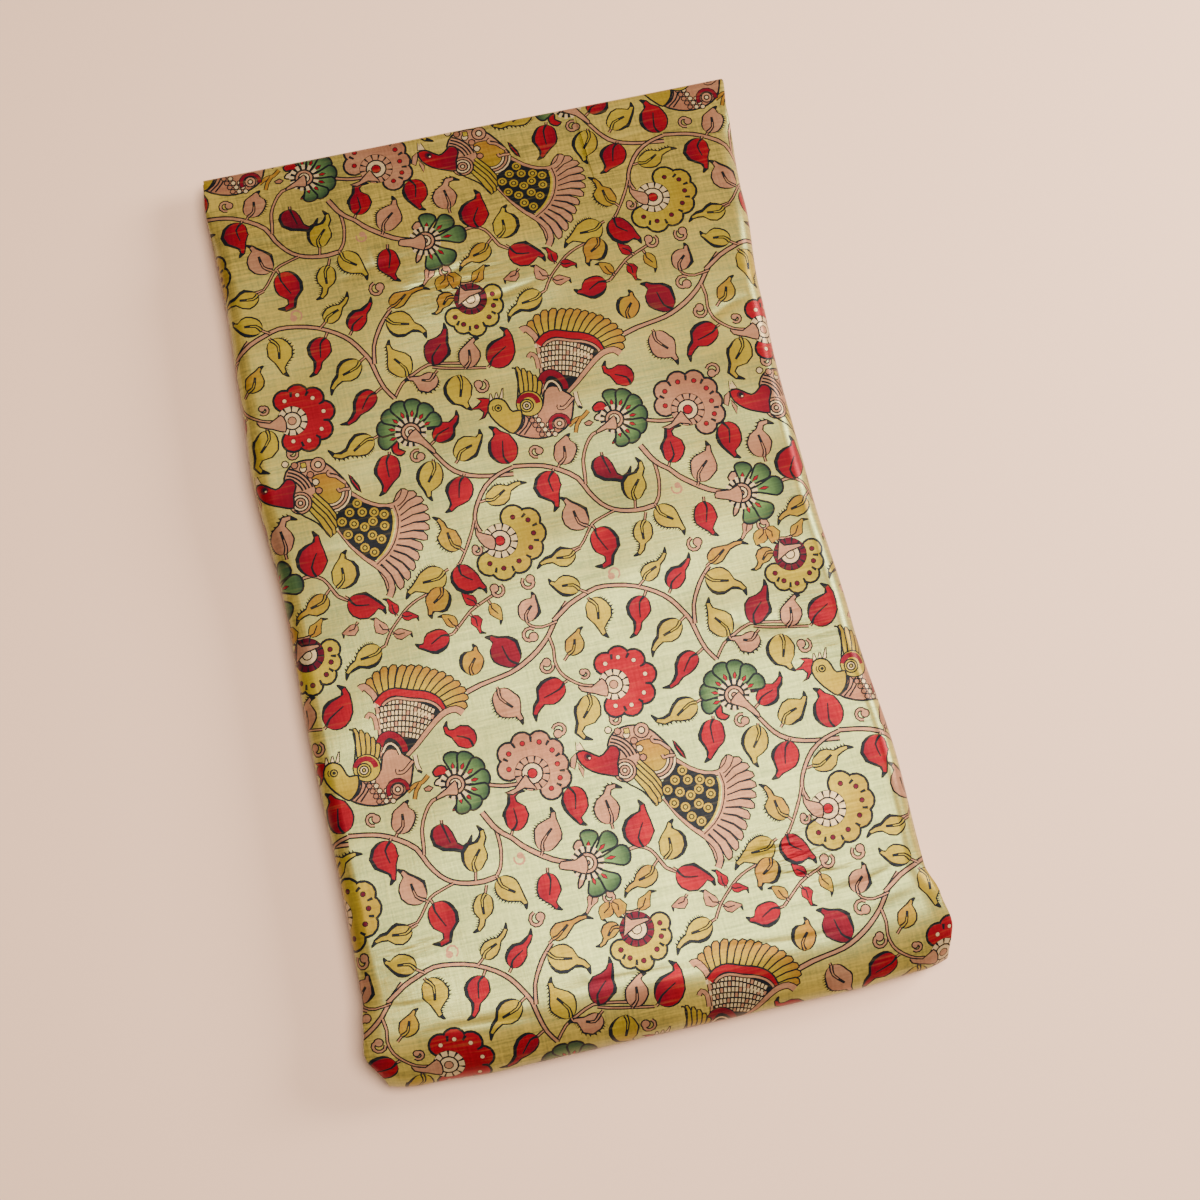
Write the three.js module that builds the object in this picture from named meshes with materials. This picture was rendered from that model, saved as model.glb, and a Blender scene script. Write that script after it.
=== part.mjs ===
// A length of printed tussar silk, folded in three along its width and then to and fro into a
// flat bundle of ten layers. Millimetres, +Z up, the bundle lies on z = 0.
// X runs across the bundle, +Y points from its rolled foot to its sloping head.

import * as THREE from "three";

// Driving dimensions
const bundleLength = 620;
const clothThickness = 1.6;
const restGap = 0.05;
const layerPitch = 3.6;
const layerCount = 10;
const foldReach = 3.4;
const foldSteps = 5;

// The outermost fold at the foot is a fat roll, fuller above its widest point than below it.
const rollTopReach = 38;
const rollUnderReach = 22;
const rollWidestHeight = 13;
const rollSteps = 6;

// The two top layers slope down to the head, over the staggered ends of the layers beneath. The
// slope is longer on the right side than on the left, by this share of its length at each side.
const slopeLength = 98;
const slopeSkew = 0.2;
const slopeDrop = 14;
const headFoldHeight = 4.8;
const headFoldReach = 5.2;
const slopeSteps = 8;
const skewReach = 215;
const skewFade = 105;

// Neighbouring places along a layer are at least this far apart.
const leastStep = 9;

// The top layer's long sides bend down over the layers beneath them.
const sideBendLength = 14.4;
const sideBendAngle = 1.3;
const rollSideBendAngle = 0.42;
const sideBendSteps = 3;
const middleSteps = 6;
const bendFadeStart = 62;
const bendFadeEnd = 20;

// Soft swells of the upper layers: height, waves along X and Y, and their start.
const swells = [
  { height: 0.9, acrossWaves: 0.8, alongWaves: 1.3, start: 0.4 },
  { height: 0.6, acrossWaves: 1.6, alongWaves: 2.1, start: 2.1 },
  { height: 0.4, acrossWaves: 2.7, alongWaves: 0.9, start: 4.4 },
];

// Each layer from the floor up: where its folds or cut ends stop short of the foot and of the
// head, and how far its left and right edges lie inside the outline.
const layers = [
  { footIn: rollUnderReach, headIn: 3, leftIn: 2.5, rightIn: 2.0 },
  { footIn: 15, headIn: 9, leftIn: 4.5, rightIn: 5.5 },
  { footIn: 15, headIn: 5, leftIn: 2.0, rightIn: 3.5 },
  { footIn: 8, headIn: 5, leftIn: 5.0, rightIn: 1.5 },
  { footIn: 8, headIn: 52, leftIn: 3.0, rightIn: 4.5 },
  { footIn: 12, headIn: 52, leftIn: 6.0, rightIn: 3.0 },
  { footIn: 12, headIn: 88, leftIn: 3.5, rightIn: 5.0 },
  { footIn: 26, headIn: 88, leftIn: 6.5, rightIn: 7.0 },
  { footIn: 26, headIn: 0, leftIn: 9.5, rightIn: 9.0 },
  { footIn: rollTopReach, headIn: 0, leftIn: 0, rightIn: 0 },
];

// The bundle's long sides, from the foot to the head: the left side bellies out a little, the
// right side is drawn in at its middle and flares at both ends.
const outline = [
  { along: -310, left: -177, right: 186 },
  { along: -287, left: -186, right: 191 },
  { along: -266, left: -183, right: 188 },
  { along: -246, left: -180, right: 183 },
  { along: -180, left: -179, right: 184 },
  { along: -80, left: -180, right: 178 },
  { along: 10, left: -178, right: 174 },
  { along: 95, left: -182, right: 173 },
  { along: 150, left: -179, right: 175 },
  { along: 220, left: -176, right: 181 },
  { along: 285, left: -177, right: 186 },
  { along: 310, left: -175, right: 189 },
];

// How far the foot is pulled back from its straight line, across the bundle.
const footLine = [
  { across: -190, back: 7.5 },
  { across: -150, back: 4.0 },
  { across: -105, back: 1.2 },
  { across: -30, back: 0.6 },
  { across: 60, back: -0.6 },
  { across: 125, back: -1.4 },
  { across: 165, back: 0.2 },
  { across: 190, back: 2.5 },
];
const footLineReach = 70;

const silk = new THREE.MeshStandardMaterial({
  color: new THREE.Color(0.72, 0.68, 0.44),
  roughness: 0.55,
  metalness: 0,
});

const halfLength = bundleLength / 2;
const halfWidth = 183;

// The two lowest layers end in the cloth's cut ends at the head, and the others in folds.
const cutEnds = 2;
const topHeight = clothThickness / 2 + (layerCount - 1) * layerPitch;

const smooth = (t) => {
  const s = Math.min(1, Math.max(0, t));
  return s * s * (3 - 2 * s);
};

// Reads a table's column at a place between its rows, with soft changes from row to row.
function readTable(rows, key, column, place) {
  if (place <= rows[0][key]) return rows[0][column];
  for (let r = 1; r < rows.length; r += 1) {
    const low = rows[r - 1];
    const high = rows[r];
    if (place <= high[key]) {
      const t = (place - low[key]) / (high[key] - low[key]);
      return low[column] + (high[column] - low[column]) * smooth(t);
    }
  }
  return rows[rows.length - 1][column];
}

// How much longer the head's slope is at a place across the bundle, as a share.
const skewAt = (across) => 1 + (slopeSkew * across) / halfWidth;

// A point of the section: its place and height before the slope, how far its layer falls on the
// slope, how far the edges lie in from the outline, the turn of the side bends, and whether it
// moves with the slope's longer and shorter sides.
function station(along, height, fall, leftIn, rightIn, bend, skew) {
  return { along, height, fall, leftIn, rightIn, bend, skew };
}

// A station part of the way from one to another.
function between(from, to, share, changes) {
  const point = {};
  for (const key of Object.keys(from)) point[key] = from[key] + (to[key] - from[key]) * share;
  return { ...point, ...changes };
}

// Places along one layer, from the foot to the head: its ends, the outline's rows between them
// (every other one on the inner layers) and even steps down the slope.
function placesAlong(index) {
  const layer = layers[index];
  const slopes = index >= layerCount - 2;
  const fine = slopes || index === 0;
  const rolled = index === 0 || index === layerCount - 1;
  const headFold = slopes ? headFoldReach : foldReach;
  const start = -halfLength + layer.footIn + (rolled ? 0 : foldReach);
  const end = halfLength - layer.headIn - (index < cutEnds ? 0 : headFold);
  const flatEnd = slopes ? halfLength - slopeLength * (1 + slopeSkew) : end;
  const rows = outline.filter((row, k) => fine || k % 2 === 0).map((row) => row.along);
  const places = [start, ...rows.filter((y) => y > start + leastStep && y < flatEnd - leastStep), flatEnd];
  for (let k = 1; slopes && k <= slopeSteps; k += 1) {
    places.push(flatEnd + ((end - flatEnd) * k) / slopeSteps);
  }
  return places;
}

// The stretch of one layer between its two ends, from the foot to the head.
function flatRun(index) {
  const layer = layers[index];
  const height = clothThickness / 2 + index * layerPitch;
  const falls = { [layerCount - 1]: slopeDrop - headFoldHeight + layerPitch, [layerCount - 2]: slopeDrop };
  const staggered = layer.headIn > slopeLength * slopeSkew;
  return placesAlong(index).map((along) => {
    const fromHead = halfLength - along;
    const draw = index === layerCount - 2 ? smooth((fromHead - headFoldReach) / bendFadeEnd) : 1;
    const skew = staggered ? smooth((skewReach - fromHead) / skewFade) : 0;
    let bend = 0;
    if (index === layerCount - 1) {
      const atHead = smooth((fromHead - bendFadeEnd) / (bendFadeStart - bendFadeEnd));
      const fromRoll = smooth((along + halfLength - rollTopReach) / bendFadeStart);
      bend = rollSideBendAngle + (sideBendAngle * atHead - rollSideBendAngle) * fromRoll;
    }
    const edges = [layer.leftIn * draw, layer.rightIn * draw];
    return station(along, height, falls[index] ?? 0, ...edges, bend, skew);
  });
}

// A half turn between two layers, bulging towards the given end (+1 the head, -1 the foot).
function fold(from, to, end, reach) {
  const turns = [];
  for (let k = 1; k < foldSteps; k += 1) {
    const angle = (Math.PI * k) / foldSteps;
    const point = between(from, to, (1 - Math.cos(angle)) / 2, {});
    turns.push({ ...point, along: point.along + end * reach * Math.sin(angle) });
  }
  return turns;
}

// The fat outer roll at the foot, from the top layer round to the bottom one.
function roll(from, to) {
  const turns = [];
  for (let k = 1; k < 2 * rollSteps; k += 1) {
    const angle = (Math.PI * k) / (2 * rollSteps);
    const above = k <= rollSteps;
    const reach = above ? rollTopReach : rollUnderReach;
    const rise = above ? from.height - rollWidestHeight : rollWidestHeight - to.height;
    const along = -halfLength + reach * (1 - Math.sin(angle));
    const height = rollWidestHeight + rise * Math.cos(angle);
    turns.push(between(from, to, smooth(k / (2 * rollSteps)), { along, height }));
  }
  return turns;
}

// The cloth's whole section: the inner layers from the second one up, the top layer, the roll
// round the foot and the bottom layer.
function section() {
  const path = [];
  for (let index = 1; index < layerCount; index += 1) {
    const run = flatRun(index);
    const towardsFoot = index % 2 === 1;
    if (towardsFoot) run.reverse();
    if (path.length > 0) {
      const end = towardsFoot ? 1 : -1;
      const reach = index === layerCount - 1 ? headFoldReach : foldReach;
      path.push(...fold(path[path.length - 1], run[0], end, reach));
    }
    path.push(...run);
  }
  const bottom = flatRun(0);
  path.push(...roll(path[path.length - 1], bottom[0]), ...bottom);
  return path;
}

// Height that the soft swells add, full at the top of the bundle and none at its lowest layer.
function swell(across, along, height) {
  const share = Math.max(0, (height - layerPitch) / (topHeight - layerPitch));
  let sum = 0;
  for (const wave of swells) {
    const phase = wave.start + (wave.acrossWaves * across + wave.alongWaves * along) * (Math.PI / halfLength);
    sum += wave.height * Math.sin(phase);
  }
  return sum * share;
}

// Places across the sheet: an even middle, and the last stretch of each side on its bend.
function columns() {
  const list = [];
  for (let k = sideBendSteps; k >= 1; k -= 1) list.push({ share: 0, onLeft: k / sideBendSteps, onRight: 0 });
  for (let k = 0; k <= middleSteps; k += 1) list.push({ share: k / middleSteps, onLeft: 0, onRight: 0 });
  for (let k = 1; k <= sideBendSteps; k += 1) list.push({ share: 1, onLeft: 0, onRight: k / sideBendSteps });
  return list;
}

// The middle surface of the cloth: a grid of points, one row for each station. The section
// runs to the foot on the top layer, so the bundle's inside lies on its left hand there.
function middleSurface(path, across) {
  return path.map((point, row) => {
    const before = path[Math.max(0, row - 1)];
    const after = path[Math.min(path.length - 1, row + 1)];
    const run = new THREE.Vector2(after.along - before.along, after.height - before.height).normalize();
    const inward = new THREE.Vector2(-run.y, run.x);
    const radius = point.bend > 0 ? sideBendLength / point.bend : 0;
    const reachAt = (share) => (radius > 0 ? radius * Math.sin(point.bend * share) : sideBendLength * share);
    const insetAt = (share) => radius * (1 - Math.cos(point.bend * share));
    const left = readTable(outline, "along", "left", point.along) + point.leftIn + reachAt(1);
    const right = readTable(outline, "along", "right", point.along) - point.rightIn - reachAt(1);
    const fromHead = halfLength - point.along;
    return across.map(({ share, onLeft, onRight }) => {
      const x = left + (right - left) * share - reachAt(onLeft) + reachAt(onRight);
      const inset = insetAt(onLeft + onRight);
      const fallen = point.fall * smooth(1 - fromHead / (slopeLength * skewAt(x)));
      const skewed = fromHead * (skewAt(x) - 1) * point.skew;
      const along = point.along - skewed + inward.x * inset;
      const height = point.height - fallen + inward.y * inset;
      const footShare = smooth(1 - (along + halfLength) / footLineReach);
      const back = readTable(footLine, "across", "back", x) * footShare;
      return new THREE.Vector3(x, along + back, height + swell(x, along, height));
    });
  });
}

// Closes the sheet: its two faces, half a thickness to either side, and its four edges. What
// comes within the rest gap of the surface lies on it, so that the underside is truly flat.
function sheetGeometry(grid) {
  const rows = grid.length;
  const cols = grid[0].length;
  const positions = [];
  for (const side of [1, -1]) {
    for (let i = 0; i < rows; i += 1) {
      for (let j = 0; j < cols; j += 1) {
        const along = grid[Math.min(rows - 1, i + 1)][j].clone().sub(grid[Math.max(0, i - 1)][j]);
        const across = grid[i][Math.min(cols - 1, j + 1)].clone().sub(grid[i][Math.max(0, j - 1)]);
        const normal = across.cross(along).normalize();
        const point = grid[i][j].clone().addScaledVector(normal, (side * clothThickness) / 2);
        positions.push(point.x, point.y, point.z < restGap ? 0 : point.z);
      }
    }
  }
  const at = (side, i, j) => side * rows * cols + i * cols + j;
  const faces = [];
  const quad = (a, b, c, d) => faces.push(a, b, c, a, c, d);
  for (let i = 0; i + 1 < rows; i += 1) {
    for (let j = 0; j + 1 < cols; j += 1) {
      quad(at(0, i, j), at(0, i, j + 1), at(0, i + 1, j + 1), at(0, i + 1, j));
      quad(at(1, i, j), at(1, i + 1, j), at(1, i + 1, j + 1), at(1, i, j + 1));
    }
    quad(at(0, i, 0), at(0, i + 1, 0), at(1, i + 1, 0), at(1, i, 0));
    const last = cols - 1;
    quad(at(0, i, last), at(1, i, last), at(1, i + 1, last), at(0, i + 1, last));
  }
  for (let j = 0; j + 1 < cols; j += 1) {
    const last = rows - 1;
    quad(at(0, 0, j), at(1, 0, j), at(1, 0, j + 1), at(0, 0, j + 1));
    quad(at(0, last, j), at(0, last, j + 1), at(1, last, j + 1), at(1, last, j));
  }
  const geometry = new THREE.BufferGeometry();
  geometry.setAttribute("position", new THREE.Float32BufferAttribute(positions, 3));
  geometry.setIndex(faces);
  geometry.computeVertexNormals();
  return geometry;
}

// The bundle stands with the middle of its box over the origin.
const bundle = new THREE.Group();
const cloth = new THREE.Mesh(sheetGeometry(middleSurface(section(), columns())), silk);
cloth.name = "folded_cloth";
cloth.geometry.computeBoundingBox();
const middle = cloth.geometry.boundingBox.getCenter(new THREE.Vector3());
cloth.position.set(-middle.x, -middle.y, 0);
bundle.add(cloth);

export default bundle;
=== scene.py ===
"""Looks of a folded length of printed tussar silk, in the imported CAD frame.

The cloth is one sheet on the same folds as its solid. Its print is drawn once as a block of
motifs, a Geometry Nodes tree repeats the block in a half drop, and the repeated print is cut to
the sheet and laid over the folds. Lengths are millimetres in the drawing and on the sheet, and
metres in Blender.
"""

import json
import logging
import math
from dataclasses import dataclass
from enum import Enum

import bmesh
import bpy
import numpy as np
from mathutils import Matrix, Vector
from mathutils.geometry import delaunay_2d_cdt


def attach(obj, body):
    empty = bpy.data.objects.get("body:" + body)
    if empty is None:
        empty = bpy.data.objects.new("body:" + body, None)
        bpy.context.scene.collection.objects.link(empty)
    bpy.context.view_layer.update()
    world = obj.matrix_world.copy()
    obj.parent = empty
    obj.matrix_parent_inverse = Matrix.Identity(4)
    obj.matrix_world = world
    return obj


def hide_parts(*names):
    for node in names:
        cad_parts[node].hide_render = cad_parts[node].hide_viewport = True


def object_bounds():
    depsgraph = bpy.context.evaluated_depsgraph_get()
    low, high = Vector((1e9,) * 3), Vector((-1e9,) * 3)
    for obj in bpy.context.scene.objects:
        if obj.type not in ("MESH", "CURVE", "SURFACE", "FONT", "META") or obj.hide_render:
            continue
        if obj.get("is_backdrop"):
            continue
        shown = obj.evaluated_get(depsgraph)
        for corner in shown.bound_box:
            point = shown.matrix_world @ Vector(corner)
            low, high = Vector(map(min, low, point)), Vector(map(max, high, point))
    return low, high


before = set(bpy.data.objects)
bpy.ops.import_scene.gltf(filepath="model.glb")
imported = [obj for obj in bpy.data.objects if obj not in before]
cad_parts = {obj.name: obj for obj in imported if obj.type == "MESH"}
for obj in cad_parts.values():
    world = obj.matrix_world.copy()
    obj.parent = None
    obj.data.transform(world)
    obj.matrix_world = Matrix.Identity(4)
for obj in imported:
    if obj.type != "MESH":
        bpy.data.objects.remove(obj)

log = logging.getLogger("tussar_silk")

MM = 0.001
MERGE = 0.02  # Points nearer than this on the flat cloth become one.
BORDER = 0.05  # Points nearer than this to a border lie on it.
SIDE_STEP = 3.6  # Steps of the points across a bent side.
ROOM = 400.0  # Width kept for the cloth in its baked map.
SHIFT = (-2.494, 0.874, 0.0)  # Moves the bundle's middle over the frame's origin.
CLOTH = "folded_cloth"

Array = np.ndarray
Socket = bpy.types.NodeSocket
Points = list[tuple[float, float]]
Colour = tuple[float, float, float]


def smooth(t: Array) -> Array:
    """Gives the height of a soft step, from 0 to 1, at each place t."""
    s = np.clip(t, 0.0, 1.0)
    return s * s * (3.0 - 2.0 * s)


def linear(colour: Colour) -> Colour:
    """Turns a display colour, 0 to 1, into a scene-linear one."""
    return tuple(c / 12.92 if c <= 0.04045 else ((c + 0.055) / 1.055) ** 2.4 for c in colour)


class Ink(Enum):
    """Pastes of the print, as display colours."""

    LINE = (0.080, 0.086, 0.098)
    RED = (0.455, 0.048, 0.090)
    DEEP_RED = (0.353, 0.050, 0.099)
    MAROON = (0.264, 0.057, 0.100)
    MUSTARD = (0.527, 0.449, 0.132)
    GOLD = (0.490, 0.394, 0.110)
    OCHRE = (0.483, 0.333, 0.107)
    PINK = (0.535, 0.370, 0.272)
    ROSE = (0.490, 0.315, 0.230)
    CREAM = (0.651, 0.555, 0.403)
    LEAF_GREEN = (0.295, 0.385, 0.215)
    DARK_GREEN = (0.105, 0.155, 0.122)

    @property
    def rgb(self) -> Colour:
        """Linear colour of the paste."""
        return linear(self.value)


def put(name: str, data: bpy.types.ID) -> bpy.types.Object:
    """Adds an object with the given data to the scene."""
    made = bpy.data.objects.new(name, data)
    bpy.context.scene.collection.objects.link(made)
    return made


class Side(Enum):
    """Side of a leaf, as seen from its body towards its tip."""

    NONE = 0
    LEFT = 1
    RIGHT = -1


LINE, RED, DEEP, MAROON, MUSTARD, GOLD, OCHRE, PINK, ROSE, CREAM, LEAF_GREEN, DARK_GREEN = Ink
N, L, R = Side


@dataclass(frozen=True)
class Wash:
    """Second paste that a shape's first one turns into along one direction."""

    ink: Ink
    start: tuple[float, float]
    end: tuple[float, float]

    def share(self, points: Array) -> Array:
        """Gives the share of the second paste, 0 to 1, at each x, y row."""
        way = np.subtract(self.end, self.start)
        return smooth((points - np.array(self.start)) @ way / float(way @ way))


@dataclass(frozen=True)
class Shape:
    """One closed area of paste."""

    points: Array
    ink: Ink
    wash: Wash | None = None

    def moved(self, step: Array) -> "Shape":
        """Copies the shape.

        Args:
            step: Way to the copy.

        Returns:
            The copy.
        """
        wash = self.wash
        if wash is not None:
            wash = Wash(wash.ink, tuple(np.add(wash.start, step)), tuple(np.add(wash.end, step)))
        return Shape(self.points + step, self.ink, wash)


def spline(points: Points, per: int, closed: bool = False) -> Array:
    """Smooth curve through points.

    Args:
        points: Points that the curve passes.
        per: Steps from one point to the next.
        closed: Whether the curve comes back to its start.

    Returns:
        Array of x, y rows.
    """
    p = np.array(points, dtype=float)
    if closed:
        p = np.vstack([p[-1], p, p[0], p[1]])
    else:
        p = np.vstack([2 * p[0] - p[1], p, 2 * p[-1] - p[-2]])
    t = np.arange(per)[:, None] / per
    parts = []
    for a, b, c, d in zip(p[:-3], p[1:-2], p[2:-1], p[3:]):
        parts.append(0.5 * (2 * b + (c - a) * t + (2 * a - 5 * b + 4 * c - d) * t**2
                            + (3 * b - a - 3 * c + d) * t**3))
    if not closed:
        parts.append(p[-2:-1])
    return np.vstack(parts)


def side_ways(points: Array, closed: bool) -> Array:
    """Unit ways to the left of a line at each of its points.

    Args:
        points: The line's points.
        closed: Whether its ends meet.

    Returns:
        Array of x, y rows.
    """
    if closed:
        along = np.roll(points, -1, 0) - np.roll(points, 1, 0)
    else:
        along = np.gradient(points, axis=0)
    along /= np.maximum(np.linalg.norm(along, axis=1), 1e-9)[:, None]
    return np.stack([-along[:, 1], along[:, 0]], axis=1)


def arc(x: float, y: float, radius: float, start: float, end: float, steps: int) -> Array:
    """Points on an arc round x, y, with angles in degrees anticlockwise from the right."""
    angle = np.radians(np.linspace(start, end, steps + 1))
    return np.stack([x + radius * np.cos(angle), y + radius * np.sin(angle)], axis=1)


def ways_at(angle: float) -> tuple[Array, Array]:
    """Unit way out at an angle in degrees, and the unit way across it."""
    turn = math.radians(angle)
    return np.array([math.cos(turn), math.sin(turn)]), np.array([-math.sin(turn), math.cos(turn)])


def spread(line: Array, count: int) -> Array:
    """Picks points evenly, by their number, along a line."""
    places, own = np.linspace(0, 1, count), np.linspace(0, 1, len(line))
    return np.stack([np.interp(places, own, line[:, k]) for k in (0, 1)], 1)


class Drawing:
    """Sheet of shapes in the order in which they are painted."""

    def __init__(self, fineness: float) -> None:
        """Starts an empty drawing.

        Args:
            fineness: Share of the full number of points that curves get.
        """
        self.fineness = fineness
        self.pen = 1.25
        self.shapes: list[Shape] = []

    def fill(self, points: Array, ink: Ink, wash: Wash | None = None) -> None:
        """Paints an area with a paste, and with a second one that it turns into."""
        self.shapes.append(Shape(np.array(points, dtype=float), ink, wash))

    def edged(self, points: Array, ink: Ink, rim: float = 1.1, wash: Wash | None = None) -> None:
        """Paints an area with a dark line round it.

        Args:
            points: The outer edge of the line.
            ink: Paste inside it.
            rim: Width of the line, in widths of the pen.
            wash: Second paste that the inside turns into.
        """
        p = np.array(points, dtype=float)
        area = float(np.sum(p[:, 0] * np.roll(p[:, 1], -1) - np.roll(p[:, 0], -1) * p[:, 1]))
        inward = side_ways(p, True) * (1.0 if area > 0 else -1.0)
        self.fill(p, LINE)
        self.fill(p + inward * rim * self.pen, ink, wash)

    def stroke(self, points: Array, widths: float | Array, ink: Ink) -> None:
        """Paints a line.

        Args:
            points: Its middle.
            widths: Its width, one for all or one for each point.
            ink: Its paste.
        """
        p = np.array(points, dtype=float)
        half = np.broadcast_to(np.asarray(widths, dtype=float) / 2, (len(p),))[:, None]
        ways = side_ways(p, False)
        self.fill(np.vstack([p + ways * half, (p - ways * half)[::-1]]), ink)

    def piped(self, points: Array, widths: float | Array, ink: Ink, rim: float = 0.8) -> None:
        """Paints a stripe between two dark lines, whose width is given in widths of the pen."""
        self.stroke(points, widths + 2 * rim * self.pen, LINE)
        self.stroke(points, widths, ink)

    def pipe(self, points: Points, widths: float | tuple[float, float], ink: Ink, rim: float = 0.6) -> None:
        """Paints a smooth piped stripe, with one width or with a first and a last one."""
        line = spline(points, 2)
        self.piped(line, np.linspace(*widths, len(line)) if isinstance(widths, tuple) else widths, ink, rim)

    def blob(self, points: Points, ink: Ink, rim: float = 1.1, wash: Wash | None = None) -> None:
        """Paints a smooth closed area with a dark line round it."""
        self.edged(spline(points, self.steps(2), closed=True), ink, rim, wash)

    def disc(self, x: float, y: float, radius: float, ink: Ink) -> None:
        """Paints a round spot."""
        count = max(6, round((5 + 1.7 * radius) * self.fineness))
        self.fill(arc(x, y, radius, 0, 360 * (1 - 1 / count), count - 1), ink)

    def target(self, x: float, y: float, radius: float, inks: tuple[Ink, ...]) -> None:
        """Paints rings inside each other, with dark lines between them.

        Args:
            x: Their middle's place across.
            y: Their middle's place along.
            radius: The outer ring's radius.
            inks: Paste of each ring, from the outside.
        """
        step = radius / len(inks)
        for k, ink in enumerate(inks):
            self.disc(x, y, radius - k * step, LINE)
            self.disc(x, y, radius - k * step - 0.75 * self.pen, ink)

    def steps(self, count: int) -> int:
        """Fits a number of curve steps to the drawing's fineness."""
        return max(1, round(count * self.fineness))


@dataclass(frozen=True)
class Leaf:
    """Comma-shaped leaf: a round body on its stem, and a tail to its tip."""

    x: float
    y: float
    tip_x: float
    tip_y: float
    stem_x: float
    stem_y: float
    width: float
    bend: float
    ink: Ink
    dark: Side = Side.NONE
    ticks: Side = Side.NONE

    def draw(self, art: Drawing) -> None:
        """Draws the leaf.

        Args:
            art: Drawing that takes it.
        """
        body, tip, stem = (np.array(p, dtype=float) for p in ((self.x, self.y), (self.tip_x, self.tip_y),
            (self.stem_x, self.stem_y)))
        back = stem - body
        far = float(np.linalg.norm(back))
        end = body + back / far * min(far, 0.6 * self.width)
        way = (tip - body) / np.linalg.norm(tip - body)
        left = np.array([-way[1], way[0]])
        hook = self.bend if abs(self.bend) > 1.4 else math.copysign(2.3, self.bend or -1.0)
        neck = body + (tip - body) * 0.6 + left * hook * 1.15
        crook = body + (tip - body) * 0.87 + left * hook * 0.8
        small = self.width < 11
        rim = 0.8 if small else 1.15
        width = self.width - 2 * rim
        spine = spline([tuple(end), tuple(body), tuple(neck), tuple(crook), tuple(tip)], 6)
        lengths = np.concatenate([[0], np.cumsum(np.linalg.norm(np.diff(spine, axis=0), axis=1))])
        at_body = lengths[6] / lengths[-1]
        side = art.steps(5 if small else 9)
        share = np.concatenate([at_body * (1 - np.cos(np.linspace(0.25, 1.0,
            side // 2 + 1) * np.pi / 2))[:-1], np.linspace(at_body, 0.97, side - side // 2 + 1)])
        axis = np.stack([np.interp(share * lengths[-1], lengths, spine[:, k]) for k in (0, 1)], axis=1)
        ways = side_ways(axis, False)
        before = np.sqrt(np.clip(1 - ((at_body - share) / at_body) ** 2, 0, 1))
        after = np.clip((share - at_body) / (1 - at_body), 0, 1)
        reach = after * (1 - at_body) * lengths[-1] / (0.58 * width)
        tail = 0.96 * np.sqrt(np.clip(1 - reach**2, 0, 1) + 0.12 * (1 - after) ** 1.3)
        half = width / 2 * np.where(share < at_body, before, tail)
        wobble = 1 + 0.045 * np.sin(share * 9 + self.x) + 0.03 * np.sin(share * 17 + self.y)
        half = half * wobble
        rims = {s: np.full(len(half), rim) for s in (Side.LEFT, Side.RIGHT)}
        if self.dark is not Side.NONE:
            rims[self.dark] += (0.6 if small else 1.5) * np.sin(np.pi * np.clip(share * 1.15, 0, 1)) ** 0.8
        taper = 1 - 0.6 * smooth((after - 0.6) * 2.5)
        outer_left = axis + ways * (half + rims[Side.LEFT] * taper)[:, None]
        outer_right = axis - ways * (half + rims[Side.RIGHT] * taper)[:, None]
        if self.ticks is Side.LEFT:
            outer_left = self.toothed(outer_left, ways)
        if self.ticks is Side.RIGHT:
            outer_right = self.toothed(outer_right, -ways)
        root = end - (axis[1] - end) / max(np.linalg.norm(axis[1] - end), 1e-6) * 0.6
        outer = np.vstack([root, outer_left, tip, outer_right[::-1]])
        inner = np.vstack([end, (axis + ways * half[:, None])[:-1], (axis - ways * half[:, None])[-2::-1]])
        if far > 0.6 * self.width + 1:
            art.piped(spline([tuple(stem), tuple(end)], 2), 0.8, PINK, 0.6)
        art.fill(outer, LINE)
        art.fill(inner, self.ink, self.wash(body, left))
        self.draw_rib(art, end, body, neck, small)

    def wash(self, body: Array, left: Array) -> Wash | None:
        """Gives the second paste of the leaf's body.

        Args:
            body: Middle of the body.
            left: Unit way to the leaf's left.

        Returns:
            A wash across the leaf.
        """
        second = {RED: DEEP, DEEP: MAROON, MUSTARD: GOLD, GOLD: OCHRE, OCHRE: GOLD, PINK: ROSE,
            ROSE: PINK}.get(self.ink)
        if second is None:
            return None
        turn = 1 if (self.dark is Side.LEFT or (self.x * 7 + self.y) % 2 < 1) else -1
        reach = left * turn * self.width
        return Wash(second, tuple(body - 0.35 * reach), tuple(body + 0.75 * reach))

    def toothed(self, edge: Array, ways: Array) -> Array:
        """Adds short hairs along an edge.

        Args:
            edge: The edge's points.
            ways: Unit ways out of the leaf.

        Returns:
            The edge with its hairs.
        """
        points = []
        for k in range(len(edge) - 1):
            points.append(edge[k])
            if 0 < k < len(edge) - 2:
                step = edge[k + 1] - edge[k]
                for share in (0.3, 0.75):
                    foot = edge[k] + step * share
                    points.extend([foot - step * 0.14, foot + ways[k] * 1.9, foot + step * 0.14])
        points.append(edge[-1])
        return np.array(points)

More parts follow.
